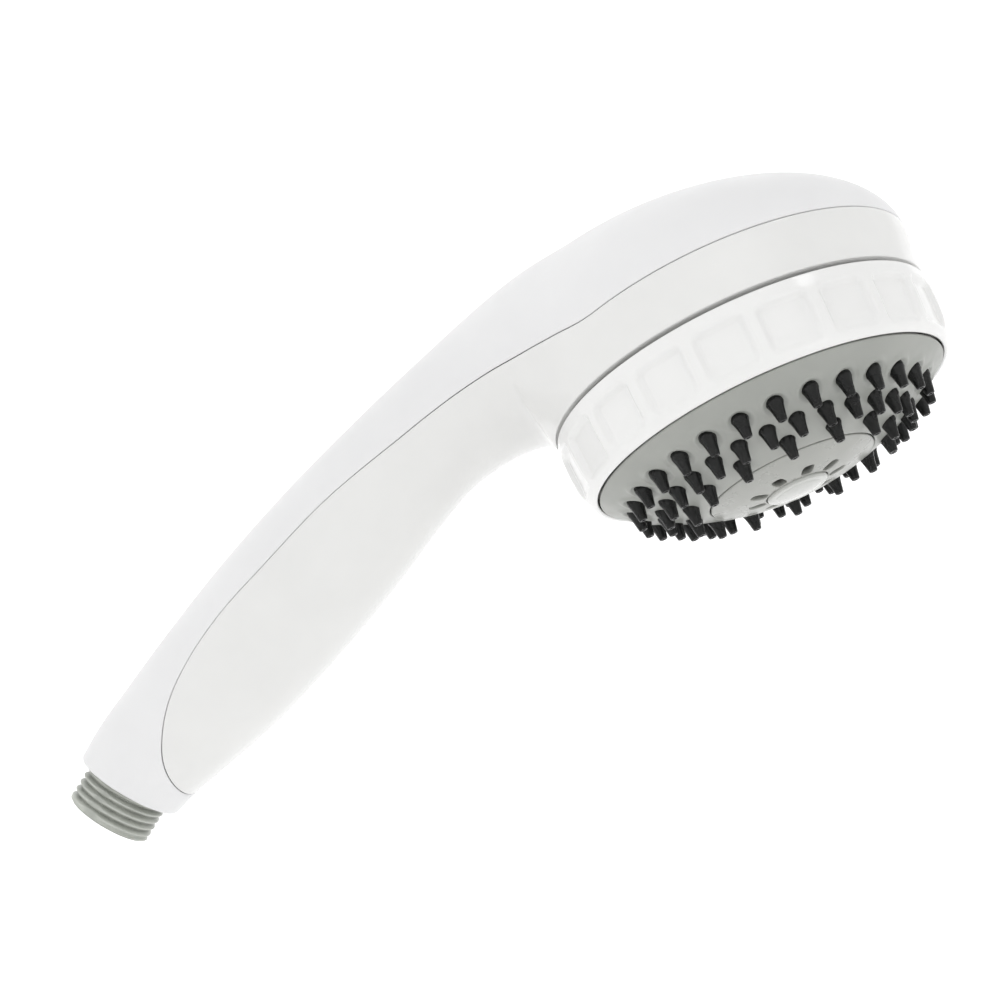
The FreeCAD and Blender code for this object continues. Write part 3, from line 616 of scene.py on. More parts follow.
@dataclass(frozen=True)
class Finish:
    """A procedural material with mottled colour, uneven polish and a fine surface grain."""

    name: str
    light: tuple[float, float, float]
    dark: tuple[float, float, float]
    polish: tuple[float, float]
    grain: Grain
    depth: float = 0.00001
    coat: float = 0.0
    metal: float = 0.0
    shine: float = 0.5
    coat_roughness: ClassVar[float] = 0.06
    mottle_scale: ClassVar[float] = 45.0
    polish_scale: ClassVar[float] = 160.0
    brush_stretch: ClassVar[float] = 14.0
    grain_scales: ClassVar[dict[Grain, float]] = {
        Grain.POLISHED: 420.0,
        Grain.SATIN: 2600.0,
        Grain.BRUSHED: 900.0,
    }

    def nodes(self) -> tuple[bpy.types.Material, bpy.types.NodeTree, bpy.types.Node]:
        """An empty material with its shader set up.

        Returns:
            The material, its node tree and its shader.
        """
        material = bpy.data.materials.new(self.name)
        material.use_nodes = True
        tree = material.node_tree
        shader = tree.nodes["Principled BSDF"]
        shader.inputs["Metallic"].default_value = self.metal
        shader.inputs["Specular IOR Level"].default_value = self.shine
        shader.inputs["Coat Weight"].default_value = self.coat
        shader.inputs["Coat Roughness"].default_value = self.coat_roughness
        return material, tree, shader

    def noise(
        self, tree: bpy.types.NodeTree, place: bpy.types.NodeSocket, scale: float, detail: float
    ) -> bpy.types.NodeSocket:
        """A noise pattern.

        Args:
            tree: the material's tree.
            place: the coordinates.
            scale: cycles in a metre.
            detail: how much fine structure it has.

        Returns:
            The pattern, from 0 to 1.
        """
        node = tree.nodes.new("ShaderNodeTexNoise")
        node.inputs["Scale"].default_value = scale
        node.inputs["Detail"].default_value = detail
        node.inputs["Roughness"].default_value = 0.55
        tree.links.new(place, node.inputs["Vector"])
        return node.outputs["Fac"]

    def ramp(
        self,
        tree: bpy.types.NodeTree,
        value: bpy.types.NodeSocket,
        between: tuple[float, float],
        results: tuple[float, float],
    ) -> bpy.types.NodeSocket:
        """A value stretched so that two of its levels give two results, and level outside them.

        Args:
            tree: the material's tree.
            value: the value.
            between: its two levels.
            results: what they give.

        Returns:
            The stretched value.
        """
        node = tree.nodes.new("ShaderNodeMapRange")
        for name, number in zip(("From Min", "From Max", "To Min", "To Max"), (*between, *results)):
            node.inputs[name].default_value = number
        tree.links.new(value, node.inputs["Value"])
        return node.outputs["Result"]

    def spread(
        self, tree: bpy.types.NodeTree, value: bpy.types.NodeSocket, low: float, high: float
    ) -> bpy.types.NodeSocket:
        """A pattern's middle range stretched between two values."""
        return self.ramp(tree, value, (0.35, 0.65), (low, high))

    def tone(self, tree: bpy.types.NodeTree, place: bpy.types.NodeSocket) -> bpy.types.NodeSocket:
        """The share of the darker colour over the surface."""
        return self.spread(tree, self.noise(tree, place, self.mottle_scale, 3.0), 0.0, 1.0)

    def make(self) -> bpy.types.Material:
        """Build the material.

        Returns:
            The material.
        """
        material, tree, shader = self.nodes()
        place = tree.nodes.new("ShaderNodeTexCoord").outputs["Object"]
        mix = tree.nodes.new("ShaderNodeMix")
        mix.data_type = "RGBA"
        mix.inputs[6].default_value = (*self.light, 1.0)
        mix.inputs[7].default_value = (*self.dark, 1.0)
        tree.links.new(self.tone(tree, place), mix.inputs[0])
        tree.links.new(mix.outputs[2], shader.inputs["Base Color"])
        stretch = place
        if self.grain is Grain.BRUSHED:
            mapping = tree.nodes.new("ShaderNodeMapping")
            mapping.inputs["Scale"].default_value = (1.0, 1.0, self.brush_stretch)
            tree.links.new(place, mapping.inputs["Vector"])
            stretch = mapping.outputs["Vector"]
        patchy = self.noise(tree, stretch, self.polish_scale, 4.0)
        tree.links.new(self.spread(tree, patchy, *self.polish), shader.inputs["Roughness"])
        fine = self.noise(tree, stretch, self.grain_scales[self.grain], 2.0)
        bump = tree.nodes.new("ShaderNodeBump")
        bump.inputs["Strength"].default_value = 1.0
        bump.inputs["Distance"].default_value = self.depth
        tree.links.new(fine, bump.inputs["Height"])
        tree.links.new(bump.outputs["Normal"], shader.inputs["Normal"])
        return material


@dataclass(frozen=True)
class PaintedShadeThreadFinish(Finish):
    """The inlet's moulded plastic, with painted shade darkening the roots of the thread."""

    # Painted shade: between the root radius and the crest radius the colour is painted darker towards the roots.
    root: float = 9.35
    crest: float = 10.4
    painted_root_shade: float = 0.85

    def tone(self, tree: bpy.types.NodeTree, place: bpy.types.NodeSocket) -> bpy.types.NodeSocket:
        """The share of the darker colour: painted shade by distance from the thread's axis, darkest in the roots,
        with a faint mottle over it.

        Args:
            tree: the material's tree.
            place: the coordinates.

        Returns:
            The share, from 0 to 1.
        """
        flat = tree.nodes.new("ShaderNodeVectorMath")
        flat.operation = "MULTIPLY"
        flat.inputs[1].default_value = (1.0, 1.0, 0.0)
        tree.links.new(place, flat.inputs[0])
        radius = tree.nodes.new("ShaderNodeVectorMath")
        radius.operation = "LENGTH"
        tree.links.new(flat.outputs[0], radius.inputs[0])
        # Painted shade: darker towards the thread's roots, where shade falls between the crests.
        limits = (self.root * MM, self.crest * MM)
        deep = self.ramp(tree, radius.outputs["Value"], limits, (self.painted_root_shade, 0.0))
        mottle = self.spread(tree, self.noise(tree, place, 220.0, 3.0), 0.0, 0.25)
        add = tree.nodes.new("ShaderNodeMath")
        add.operation = "ADD"
        add.use_clamp = True
        tree.links.new(deep, add.inputs[0])
        tree.links.new(mottle, add.inputs[1])
        return add.outputs[0]


FINISHES: dict[str, Finish] = {
    "shell_back": Finish(
        "satin_white", (0.69, 0.69, 0.693), (0.67, 0.67, 0.674), (0.34, 0.42), Grain.SATIN, 0.000012
    ),
    "shell_front": Finish(
        "glossy_white",
        (0.675, 0.675, 0.664),
        (0.655, 0.655, 0.645),
        (0.14, 0.2),
        Grain.POLISHED,
        0.000006,
        coat=0.3,
    ),
    "ring_white": Finish(
        "glossy_ring_white",
        (0.72, 0.72, 0.712),
        (0.70, 0.70, 0.692),
        (0.12, 0.18),
        Grain.POLISHED,
        0.000005,
        coat=0.3,
    ),
    "face_grey": Finish(
        "satin_grey", (0.30, 0.307, 0.286), (0.272, 0.28, 0.26), (0.32, 0.42), Grain.SATIN, 0.000012
    ),
    "disc_grey": Finish(
        "pale_grey", (0.305, 0.31, 0.288), (0.278, 0.283, 0.264), (0.26, 0.36), Grain.SATIN, 0.000008
    ),
    "cap_pale": Finish(
        "polished_pale_grey",
        (0.38, 0.385, 0.362),
        (0.34, 0.35, 0.328),
        (0.06, 0.12),
        Grain.POLISHED,
        0.000003,
        coat=0.5,
    ),
    "rubber_black": Finish(
        "black_silicone",
        (0.010, 0.0105, 0.010),
        (0.005, 0.0055, 0.005),
        (0.22, 0.32),
        Grain.SATIN,
        0.000006,
        shine=0.22,
    ),
    # The inlet's darker colour is mostly the painted shade in the thread's roots.
    "inlet_grey": PaintedShadeThreadFinish(
        "grey_nylon_with_painted_root_shade", (0.45, 0.465, 0.425), (0.2, 0.21, 0.185), (0.34, 0.48), Grain.SATIN, 0.000014
    ),
    "inner_plastic": Finish(
        "natural_plastic", (0.66, 0.66, 0.62), (0.58, 0.58, 0.54), (0.35, 0.5), Grain.SATIN, 0.00001
    ),
    "wheel_plastic": Finish(
        "blue_grey_plastic", (0.42, 0.52, 0.6), (0.36, 0.46, 0.54), (0.3, 0.42), Grain.SATIN, 0.00001
    ),
    "steel": Finish(
        "drawn_steel", (0.6, 0.6, 0.6), (0.5, 0.5, 0.51), (0.22, 0.36), Grain.BRUSHED, 0.000006, metal=1.0
    ),
    "tube_plastic": Finish(
        "natural_tube_plastic", (0.7, 0.7, 0.68), (0.62, 0.62, 0.6), (0.35, 0.5), Grain.SATIN, 0.00001
    ),
}


class Paints:
    """The finishes, each built once when it is first asked for."""

    def __init__(self) -> None:
        """Start with nothing built."""
        self.made: dict[str, bpy.types.Material] = {}

    def get(self, slot: str) -> bpy.types.Material:
        """The material of a record slot.

        Args:
            slot: the slot's name.

        Returns:
            The material.
        """
        if slot not in self.made:
            self.made[slot] = FINISHES[slot].make()
        return self.made[slot]

    def dress(self, item: bpy.types.Object, slot: str) -> None:
        """Give an object one material."""
        item.data.materials.clear()
        item.data.materials.append(self.get(slot))


def settle(item: bpy.types.Object, body: str, slot: str, paints: Paints, *nodes: str) -> None:
    """Dress a finished piece, put it on its body and let it stand for its nodes.

    Args:
        item: the piece.
        body: the body that it rides on.
        slot: its material slot.
        paints: the finishes.
        nodes: the nodes that it stands for.
    """
    paints.dress(item, slot)
    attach(item, body)
    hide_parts(*nodes)
    LOG.info("%s: %d points, %d faces", item.name, len(item.data.vertices), len(item.data.polygons))


# ------------------------------------------------------------------ casing


def back_of(rows: np.ndarray) -> np.ndarray:
    """The direction to the back of each row of a section table."""
    lean = np.radians(rows[:, 2])
    return np.stack([-np.cos(lean), np.sin(lean)], -1)


@dataclass
class Casing:
    """The handle and head casing, in two shells that meet along a seam.

    Each section is its centre's X and Z, its lean in degrees, its half height and its half width.
    The seam's corners are X and Z in the row frame, and the fillet's are X and Z in the head's.
    """

    head: HeadFrame
    wall: float = 2.2
    head_radius: float = 46.5
    seam_high: float = 28.7
    band_radius: float = 45.2
    band_low: float = 17.0
    dome_rise: float = 29.9
    dome_middle: float = -22.0
    dome_step: float = 7.0
    dome_lean: float = 34.0
    neck_section: int = 9
    skirt_outer: float = 42.6
    skirt_inner: float = 41.2
    skirt_low: float = 14.2
    skirt_chamfer: float = 0.3
    half_gap: float = 0.07
    seam_rounding: float = 0.28
    tail_rounding: float = 1.0
    edge_rounding: float = 0.35
    squareness: float = 1.12
    band_pull: float = 0.36
    rim_columns: int = 96
    sections: tuple[tuple[float, ...], ...] = (
        (0.0, 9.2, 0.0, 13.0, 13.0),
        (0.6, 17.0, 5.0, 13.9, 13.9),
        (2.3, 26.0, 8.0, 14.9, 14.9),
        (5.0, 39.6, 10.0, 16.4, 16.4),
        (9.3, 64.6, 11.0, 17.6, 17.7),
        (13.3, 88.8, 11.0, 17.1, 17.2),
        (16.2, 106.1, 12.0, 15.9, 16.0),
        (18.6, 116.9, 15.0, 15.4, 15.6),
        (22.7, 128.4, 22.0, 15.8, 17.5),
        (29.1, 140.4, 29.0, 17.8, 22.5),
        (39.4, 148.2, 34.0, 24.0, 30.5),
    )
    level_seam: tuple[float, ...] = (8.0, -10.0, -16.0)
    seam: tuple[tuple[float, float], ...] = (
        (50.7, 154.3),
        (48.4, 152.2),
        (45.8, 150.2),
        (38.6, 144.0),
        (31.8, 137.4),
        (26.1, 129.3),
        (21.5, 120.5),
        (17.3, 109.6),
        (12.2, 94.2),
        (7.3, 71.6),
        (4.4, 57.2),
        (3.6, 44.6),
        (4.6, 34.5),
        (7.2, 26.4),
        (10.3, 20.4),
        (15.3, 15.3),
        (22.0, 12.0),
    )
    fillet: tuple[tuple[float, float], ...] = (
        (-45.2, 16.0),
        (-45.2, 17.0),
        (-45.6, 18.9),
        (-46.9, 20.8),
        (-49.2, 21.9),
        (-52.5, 22.4),
    )
    stations: np.ndarray = field(init=False)
    table: np.ndarray = field(init=False)

    def __post_init__(self) -> None:
        """Complete the table of sections with the ones that follow the dome."""
        rows = [list(row) for row in self.sections]
        for number in range(3):
            across = self.dome_middle + number * self.dome_step
            centre = self.head.to_row([across, 0.0, self.seam_high])
            share = (across - self.dome_middle) / (self.head_radius - self.dome_middle)
            high = self.dome_rise * math.sqrt(1 - share**2)
            wide = math.sqrt(self.head_radius**2 - across**2)
            rows.append([centre[0], centre[2], self.dome_lean, high, wide])
        self.table = np.array(rows)
        self.stations = run_of(self.table[:, :2])

    def hoops(self, at: np.ndarray) -> tuple[np.ndarray, ...]:
        """The cross sections at some stations along the handle.

        Args:
            at: the stations.

        Returns:
            Centres, directions to the back, directions along the handle, half heights and
            half widths; places and directions are (across, up) pairs in the symmetry plane.
        """
        rows = through(self.stations, self.table, at)
        back = back_of(rows)
        along = np.stack([back[:, 1], -back[:, 0]], -1)
        return rows[:, :2], back, along, rows[:, 3], rows[:, 4]

    def seam_line(self, offset: float) -> np.ndarray:
        """The seam in the symmetry plane, moved towards the back by an offset.

        Args:
            offset: how far.

        Returns:
            The line's points.
        """
        level = [[x, 0.0, self.seam_high] for x in (*self.level_seam, self.dome_middle)]
        flat = self.head.to_row(level)[:, [0, 2]]
        line = self.smooth_line(np.vstack([flat, np.array(self.seam)]))
        ahead = np.gradient(line, axis=0)
        ahead /= np.linalg.norm(ahead, axis=1, keepdims=True)
        return line + offset * np.stack([ahead[:, 1], -ahead[:, 0]], -1)

    def keel_line(self) -> np.ndarray:
        """The front of the handle in the symmetry plane, from the head's lower edge to the tail.

        Returns:
            The line's points.
        """
        fillet = self.head.to_row([[x, 0, z] for x, z in self.fillet])[:, [0, 2]]
        below = self.table[: self.neck_section]
        handle = below[:, :2] - back_of(below) * below[:, 3:4]
        return self.smooth_line(np.vstack([fillet, handle[::-1]]))

    @staticmethod
    def smooth_line(corners: np.ndarray) -> np.ndarray:
        """A finely drawn smooth line through some corners."""
        run = run_of(corners)
        return through(run, corners, np.linspace(0, run[-1], LINE_POINTS))

    def crossing(self, at: np.ndarray, line: np.ndarray) -> np.ndarray:
        """How far to the back of each section's centre a line crosses the section.

        Args:
            at: the sections' stations.
            line: the line, in the symmetry plane.

        Returns:
            One distance for each station, far below 0 where the line misses the section.
        """
        centres, back, along, _, _ = self.hoops(at)
        places = []
        for centre, behind, ahead in zip(centres, back, along):
            lift = (line - centre) @ ahead
            change = np.nonzero((lift[:-1] > 0) != (lift[1:] > 0))[0]
            if len(change) == 0:
                places.append(-1e3)
                continue
            first = change[0]
            share = lift[first] / (lift[first] - lift[first + 1])
            point = line[first] + share * (line[first + 1] - line[first])
            places.append(float((point - centre) @ behind))
        return np.array(places)

    def seam_end(self, line: np.ndarray) -> float:
        """The station where the seam meets the front of the handle.

        Args:
            line: the seam.

        Returns:
            The station.
        """
        low, high = 3.0, 30.0  # The seam meets the front between these two stations.
        for _ in range(50):
            middle = (low + high) / 2
            at = np.array([middle])
            if self.crossing(at, line)[0] + self.hoops(at)[3][0] > 0:
                high = middle
            else:
                low = middle
        return high

    def upper_stations(self, start: float) -> np.ndarray:
        """Stations from the seam's end to the dome, closer together at the seam's end.

        Args:
            start: the station of the seam's end.

        Returns:
            The stations, rising.
        """
        close_run, close_steps = 14.0, 24
        near = start + close_run * (np.arange(close_steps + 1) / close_steps) ** 2
        neck, dome_start = self.stations[self.neck_section], self.stations[len(self.sections)]
        fillet_low, fillet_high = neck - 4.0, neck + 6.5
        middle = np.linspace(near[-1], fillet_low, 96)[1:]
        corner = np.linspace(fillet_low, fillet_high, 40)[1:]
        dome = np.linspace(fillet_high, dome_start, 26)[1:]
        return np.concatenate([near, middle, corner, dome])

    def back_skin(self) -> tuple[np.ndarray, Faces]:
        """The back shell's outer skin, in the row frame.

        Returns:
            The points and faces.
        """
        line = self.seam_line(self.half_gap)
        end = self.seam_end(line)
        tail = np.array([0.0, 0.12, 0.3, 0.55, 0.8, 1.1, 1.6, 2.4, 3.4])
        lower = tail[tail < end]
        if end > 4:
            lower = np.concatenate([tail, np.linspace(tail[-1], end, 5)[1:-1]])
        at = np.concatenate([lower, self.upper_stations(end)])
        centres, back, _, high, wide = self.hoops(at)
        reach = np.clip(self.crossing(at, line) / high, -1.0, 1.0)
        limit = np.arccos(reach)
        pace = np.sqrt((wide * np.cos(limit)) ** 2 + (high * np.sin(limit)) ** 2)
        edge = limit[:, None] - BORDER_ROWS[::-1] / pace[:, None]
        spread = np.linspace(0, 1, 34)[:-1] * edge[:, :1]
        theta = np.hstack([spread, edge])
        flat = centres[:, None] + back[:, None] * (high[:, None] * np.cos(theta))[..., None]
        side = wide[:, None] * np.sin(theta)
        side[reach <= -1.0, -1] = 0.0
        hoop = np.stack([flat[..., 0], side, flat[..., 1]], -1)
        columns = hoop.shape[1]
        faces = grid_faces(len(at), columns)
        points = hoop.reshape(-1, 3)

        turn = theta[-1]
        phi = np.linspace(self.rim_end(), 0, self.rim_columns)
        rim = np.stack([self.head_radius * np.cos(phi), self.head_radius * np.sin(phi)], -1)
        pole = np.array([self.dome_middle, 0.0])
        base = pole + (rim[:, None] - pole) * np.sin(turn)[None, :, None]
        share = (base[..., 0] - self.dome_middle) / (self.head_radius - self.dome_middle)
        crown = self.dome_rise * np.sqrt(np.clip(1 - share**2, 0, 1))
        chord = np.maximum(self.head_radius**2 - base[..., 0] ** 2, 1e-9)
        lift = crown * np.sqrt(np.clip(1 - base[..., 1] ** 2 / chord, 0, 1))
        lift[:, -1] = self.half_gap
        dome = np.concatenate([base, (self.seam_high + lift)[..., None]], -1)
        dome = self.head.to_row(dome.reshape(-1, 3))
        faces += grid_faces(len(phi), columns, len(points))
        return self.both_sides(np.vstack([points, dome]), [face[::-1] for face in faces])

    def rim_end(self) -> float:
        """The angle round the head at which the dome gives way to the handle's sections."""
        return math.acos(self.dome_middle / self.head_radius)

    def front_skin(self) -> tuple[np.ndarray, Faces]:
        """The front shell's outer skin, in the row frame.

        Returns:
            The points and faces.
        """
        line = self.seam_line(-self.half_gap)
        end = self.seam_end(line)
        at = self.upper_stations(end)[::-1]
        centres, back, _, high, wide = self.hoops(at)
        drop = np.clip(self.crossing(at, line) / high, -1.0, 1.0)
        limit = np.arccos(drop)
        start_flat = centres + back * (high * drop)[:, None]
        starts = np.stack([start_flat[:, 0], wide * np.sin(limit), start_flat[:, 1]], -1)
        start_pull = np.stack(
            [-back[:, 0] * high * np.sin(limit), wide * np.cos(limit), -back[:, 1] * high * np.sin(limit)], -1
        )
        kappa = 4 / 3 * np.tan((math.pi - limit) / 4)

        x_axis, _, z_axis = self.head.axes()
        origin = np.array(self.head.origin)
        keel_drop = self.crossing(at, self.keel_line())
        keel_from, keel_full, keel_ease = 140.0, 180.0, 0.8

        ends, end_pull = [], []
        full_pull = start_pull * (kappa * self.squareness)[:, None]
        for index in range(len(at)):
            centre = np.array([centres[index, 0], 0.0, centres[index, 1]])
            behind = np.array([back[index, 0], 0.0, back[index, 1]])
            rel = centre - origin
            lift = rel @ z_axis - self.band_low
            fall = lift / (behind @ z_axis)
            foot = centre - behind * fall
            x = (foot - origin) @ x_axis
            pull_keel = np.array([0.0, -wide[index] * kappa[index] * self.squareness, 0.0])
            if x > -self.band_radius:
                y = math.sqrt(self.band_radius**2 - x**2)
                ends.append(foot + np.array([0.0, y, 0.0]))
                angle = math.degrees(math.acos(x / self.band_radius))
                flat_share = float(eased(np.array([angle]), keel_from, keel_full)[0])
                reach = np.linalg.norm(ends[-1] - starts[index])
                down = -z_axis * reach * self.band_pull
                end_pull.append(down * (1 - flat_share) + pull_keel * keel_ease * flat_share)
                unit = start_pull[index] / np.linalg.norm(start_pull[index])
                full_pull[index] *= flat_share
                full_pull[index] += unit * reach * self.band_pull * (1 - flat_share)
            else:
                ends.append(centre + behind * keel_drop[index])
                end_pull.append(pull_keel)
        ends, end_pull = np.array(ends), np.array(end_pull)

        phi = np.linspace(0, self.rim_end(), self.rim_columns)[:-1]
        seam_x, seam_y = self.head_radius * np.cos(phi), self.head_radius * np.sin(phi)
        edge_x = self.band_radius * np.cos(phi)
        edge_x = np.where(phi > math.pi / 2, seam_x, edge_x)
        edge_y = np.sqrt(self.band_radius**2 - edge_x**2)
        level = np.full_like(phi, self.seam_high - self.half_gap)
        head_starts = self.head.to_row(np.stack([seam_x, seam_y, level], -1))
        head_ends = self.head.to_row(np.stack([edge_x, edge_y, np.full_like(phi, self.band_low)], -1))
        reach = np.linalg.norm(head_ends - head_starts, axis=1)[:, None]
        head_pull = -z_axis * reach * self.band_pull

        starts = np.vstack([head_starts, starts])
        ends = np.vstack([head_ends, ends])
        first_pull = np.vstack([head_pull, full_pull])
        last_pull = np.vstack([head_pull, end_pull])

        first_pace = 3 * np.linalg.norm(first_pull, axis=1)[:, None]
        last_pace = 3 * np.linalg.norm(last_pull, axis=1)[:, None]
        most = np.linspace(0, 0.2, len(BORDER_ROWS))
        begin = np.minimum(BORDER_ROWS / np.maximum(first_pace, 1e-6), most)
        finish = 1 - np.minimum(BORDER_ROWS[::-1] / np.maximum(last_pace, 1e-6), most[::-1])
        middle = np.linspace(0, 1, 32)[1:-1]
        body = begin[:, -1:] + (finish[:, :1] - begin[:, -1:]) * middle
        t = np.hstack([begin, body, finish])[..., None]
        p0, p1 = starts[:, None], (starts + first_pull)[:, None]
        p2, p3 = (ends - last_pull)[:, None], ends[:, None]
        grid = p0 * (1 - t) ** 3 + 3 * p1 * t * (1 - t) ** 2 + 3 * p2 * t**2 * (1 - t) + p3 * t**3
        faces = grid_faces(grid.shape[0], grid.shape[1])
        return self.both_sides(grid.reshape(-1, 3), faces)

    @staticmethod
    def both_sides(points: np.ndarray, faces: Faces) -> tuple[np.ndarray, Faces]:
        """A half skin with its mirror image, merged in the symmetry plane.

        Args:
            points: the half's points.
            faces: the half's faces.

        Returns:
            The whole skin's points and faces.
        """
        mirrored = points * np.array([1.0, -1.0, 1.0])
        count = len(points)
        other = [tuple(index + count for index in reversed(face)) for face in faces]
        return weld(np.vstack([points, mirrored]), list(faces) + other)

    def on_ring_edge(self, middles: np.ndarray) -> np.ndarray:
        """Which points lie on the head's lower edge.

        Args:
            middles: the points.

        Returns:
            True for each that does.
        """
        local = (middles - np.array(self.head.origin)) @ self.head.axes().T
        near_head = np.hypot(local[:, 0], local[:, 1]) < self.head_radius
        return near_head & (np.abs(local[:, 2] - self.band_low) < 0.2)

    def skirt(self, rim: np.ndarray) -> np.ndarray:
        """The inward step and the skirt below the head's lower edge, for each point of it.

        Args:
            rim: the lower edge's points.

        Returns:
            A row of points for each point of the edge.
        """
        local = (rim - np.array(self.head.origin)) @ self.head.axes().T
        angle = np.arctan2(local[:, 1], local[:, 0])
        cut = self.skirt_chamfer
        outline = (
            (self.skirt_outer + cut, self.band_low),
            (self.skirt_outer, self.band_low - cut),
            (self.skirt_outer, self.skirt_low + cut),
            (self.skirt_outer - cut, self.skirt_low),
            (self.skirt_inner + cut, self.skirt_low),
            (self.skirt_inner, self.skirt_low + cut),
            (self.skirt_inner, self.band_low + 1.6),
        )
        rows = []
        for radius, up in outline:
            row = np.stack([radius * np.cos(angle), radius * np.sin(angle), np.full_like(angle, up)], -1)
            rows.append(self.head.to_row(row))
        return np.stack(rows, 1)

    def build(self, paints: Paints) -> None:
        """Make both shells.

        Args:
            paints: the finishes.
        """
        tail_edge = self.sections[0][1] + 0.05
        tail = Lip(lambda middle: middle[:, 2] < tail_edge, self.tail_rounding)
        ring_edge = Lip(self.on_ring_edge, self.edge_rounding, self.skirt)
        seam = Lip(everywhere, self.seam_rounding)
        for name, slot, node, skin, lip in (
            ("back_casing", "shell_back", "back_shell", self.back_skin, tail),
            ("front_casing", "shell_front", "front_shell", self.front_skin, ring_edge),
        ):
            item = piece(name, *thicken(*skin(), self.wall, [lip, seam]))
            settle(item, CASING, slot, paints, node)


# ------------------------------------------------------------------ turning group


@dataclass
class SelectorRing:
    """The ring that the hand turns, with finger recesses round it."""

    head: HeadFrame
    recesses: int = 20
    recess_depth: float = 1.15
    recess_middle: float = 7.2
    recess_half_high: float = 5.5
    recess_corner: float = 1.7
    recess_slope: tuple[float, float] = (-0.45, 1.15)
    fade: tuple[float, float] = (0.9, 5.6)
    rib: float = 2.5
    rib_radius: float = 45.0
    bore: float = 43.1
    lip: float = 41.8
    top: float = 15.95
    outline: tuple[tuple[float, float], ...] = (
        (41.85, 0.42),
        (42.05, 0.12),
        (42.5, 0.02),
        (43.1, 0.35),
        (43.75, 1.2),
        (44.3, 2.4),
        (44.75, 3.8),
        (45.15, 6.6),
        (45.35, 9.6),
        (45.4, 12.6),
        (45.25, 15.5),
    )

    def sector(self) -> tuple[np.ndarray, Faces]:
        """One recess with half a rib at each side.

        Returns:
            The points and faces.
        """
        half = math.pi / self.recesses
        corners = np.array(self.outline)
        run = run_of(corners)
        outer = through(run, corners, np.linspace(0, run[-1], 62))
        top = rounded([(45.25, 15.6, 0), (45.2, self.top, 0.35), (self.bore, self.top, 0.3)], 4)[1:]
        inner = np.array([(self.bore, 12.0), (self.bore, 6.0), (self.bore, 1.8), (self.bore - 0.2, 1.6)])
        land = np.array([(self.lip + 0.15, 1.6), (self.lip, 1.45), (self.lip, 0.8)])
        profile = np.vstack([outer, top, inner, land])
        moved = np.zeros(len(profile), bool)
        moved[: len(outer)] = True
        angles = np.linspace(-half, half, 33)
        turn = np.tile(angles, (len(profile), 1))
        radius, up = (np.repeat(profile[:, [column]], len(angles), axis=1) for column in (0, 1))
        radius = radius - self.recess(turn * self.rib_radius, up) * moved[:, None]
        points = np.stack([radius * np.cos(turn), radius * np.sin(turn), up], -1)
        rows, columns = radius.shape
        faces = grid_faces(rows, columns)
        for column in range(columns - 1):
            low = (rows - 1) * columns + column
            faces.append((low, low + 1, column + 1, column))
        return points.reshape(-1, 3), faces

    def recess(self, along: np.ndarray, up: np.ndarray) -> np.ndarray:
        """How deep the recess is.

        Args:
            along: distance round the ring from the recess's middle.
            up: height.

        Returns:
            The depth.
        """
        pitch = 2 * math.pi * self.rib_radius / self.recesses
        corner = self.recess_corner
        over = np.abs(along) - ((pitch - self.rib) / 2 - corner)
        rise = np.abs(up - self.recess_middle) - (self.recess_half_high - corner)
        outside = np.hypot(np.maximum(over, 0), np.maximum(rise, 0))
        signed = outside + np.minimum(np.maximum(over, rise), 0) - corner
        basin = eased(-signed, *self.recess_slope)
        return self.recess_depth * basin * (0.25 + 0.75 * eased(up, *self.fade))

    def build(self, paints: Paints) -> None:
        """Make the ring from copies of one sector.

        Args:
            paints: the finishes.
        """
        points, faces = self.sector()
        item = piece("turning_ring", points, faces)
        recipe = Recipe("finger_recesses")
        count = recipe.size("Recesses", self.recesses, whole=True)
        shape = around(recipe, recipe.start.outputs["Geometry"], count)
        recipe.run(item, shape, paints.get("ring_white"))
        item.data.transform(self.head.matrix())
        settle(item, SPRAY_HEAD, "ring_white", paints, "selector_ring")


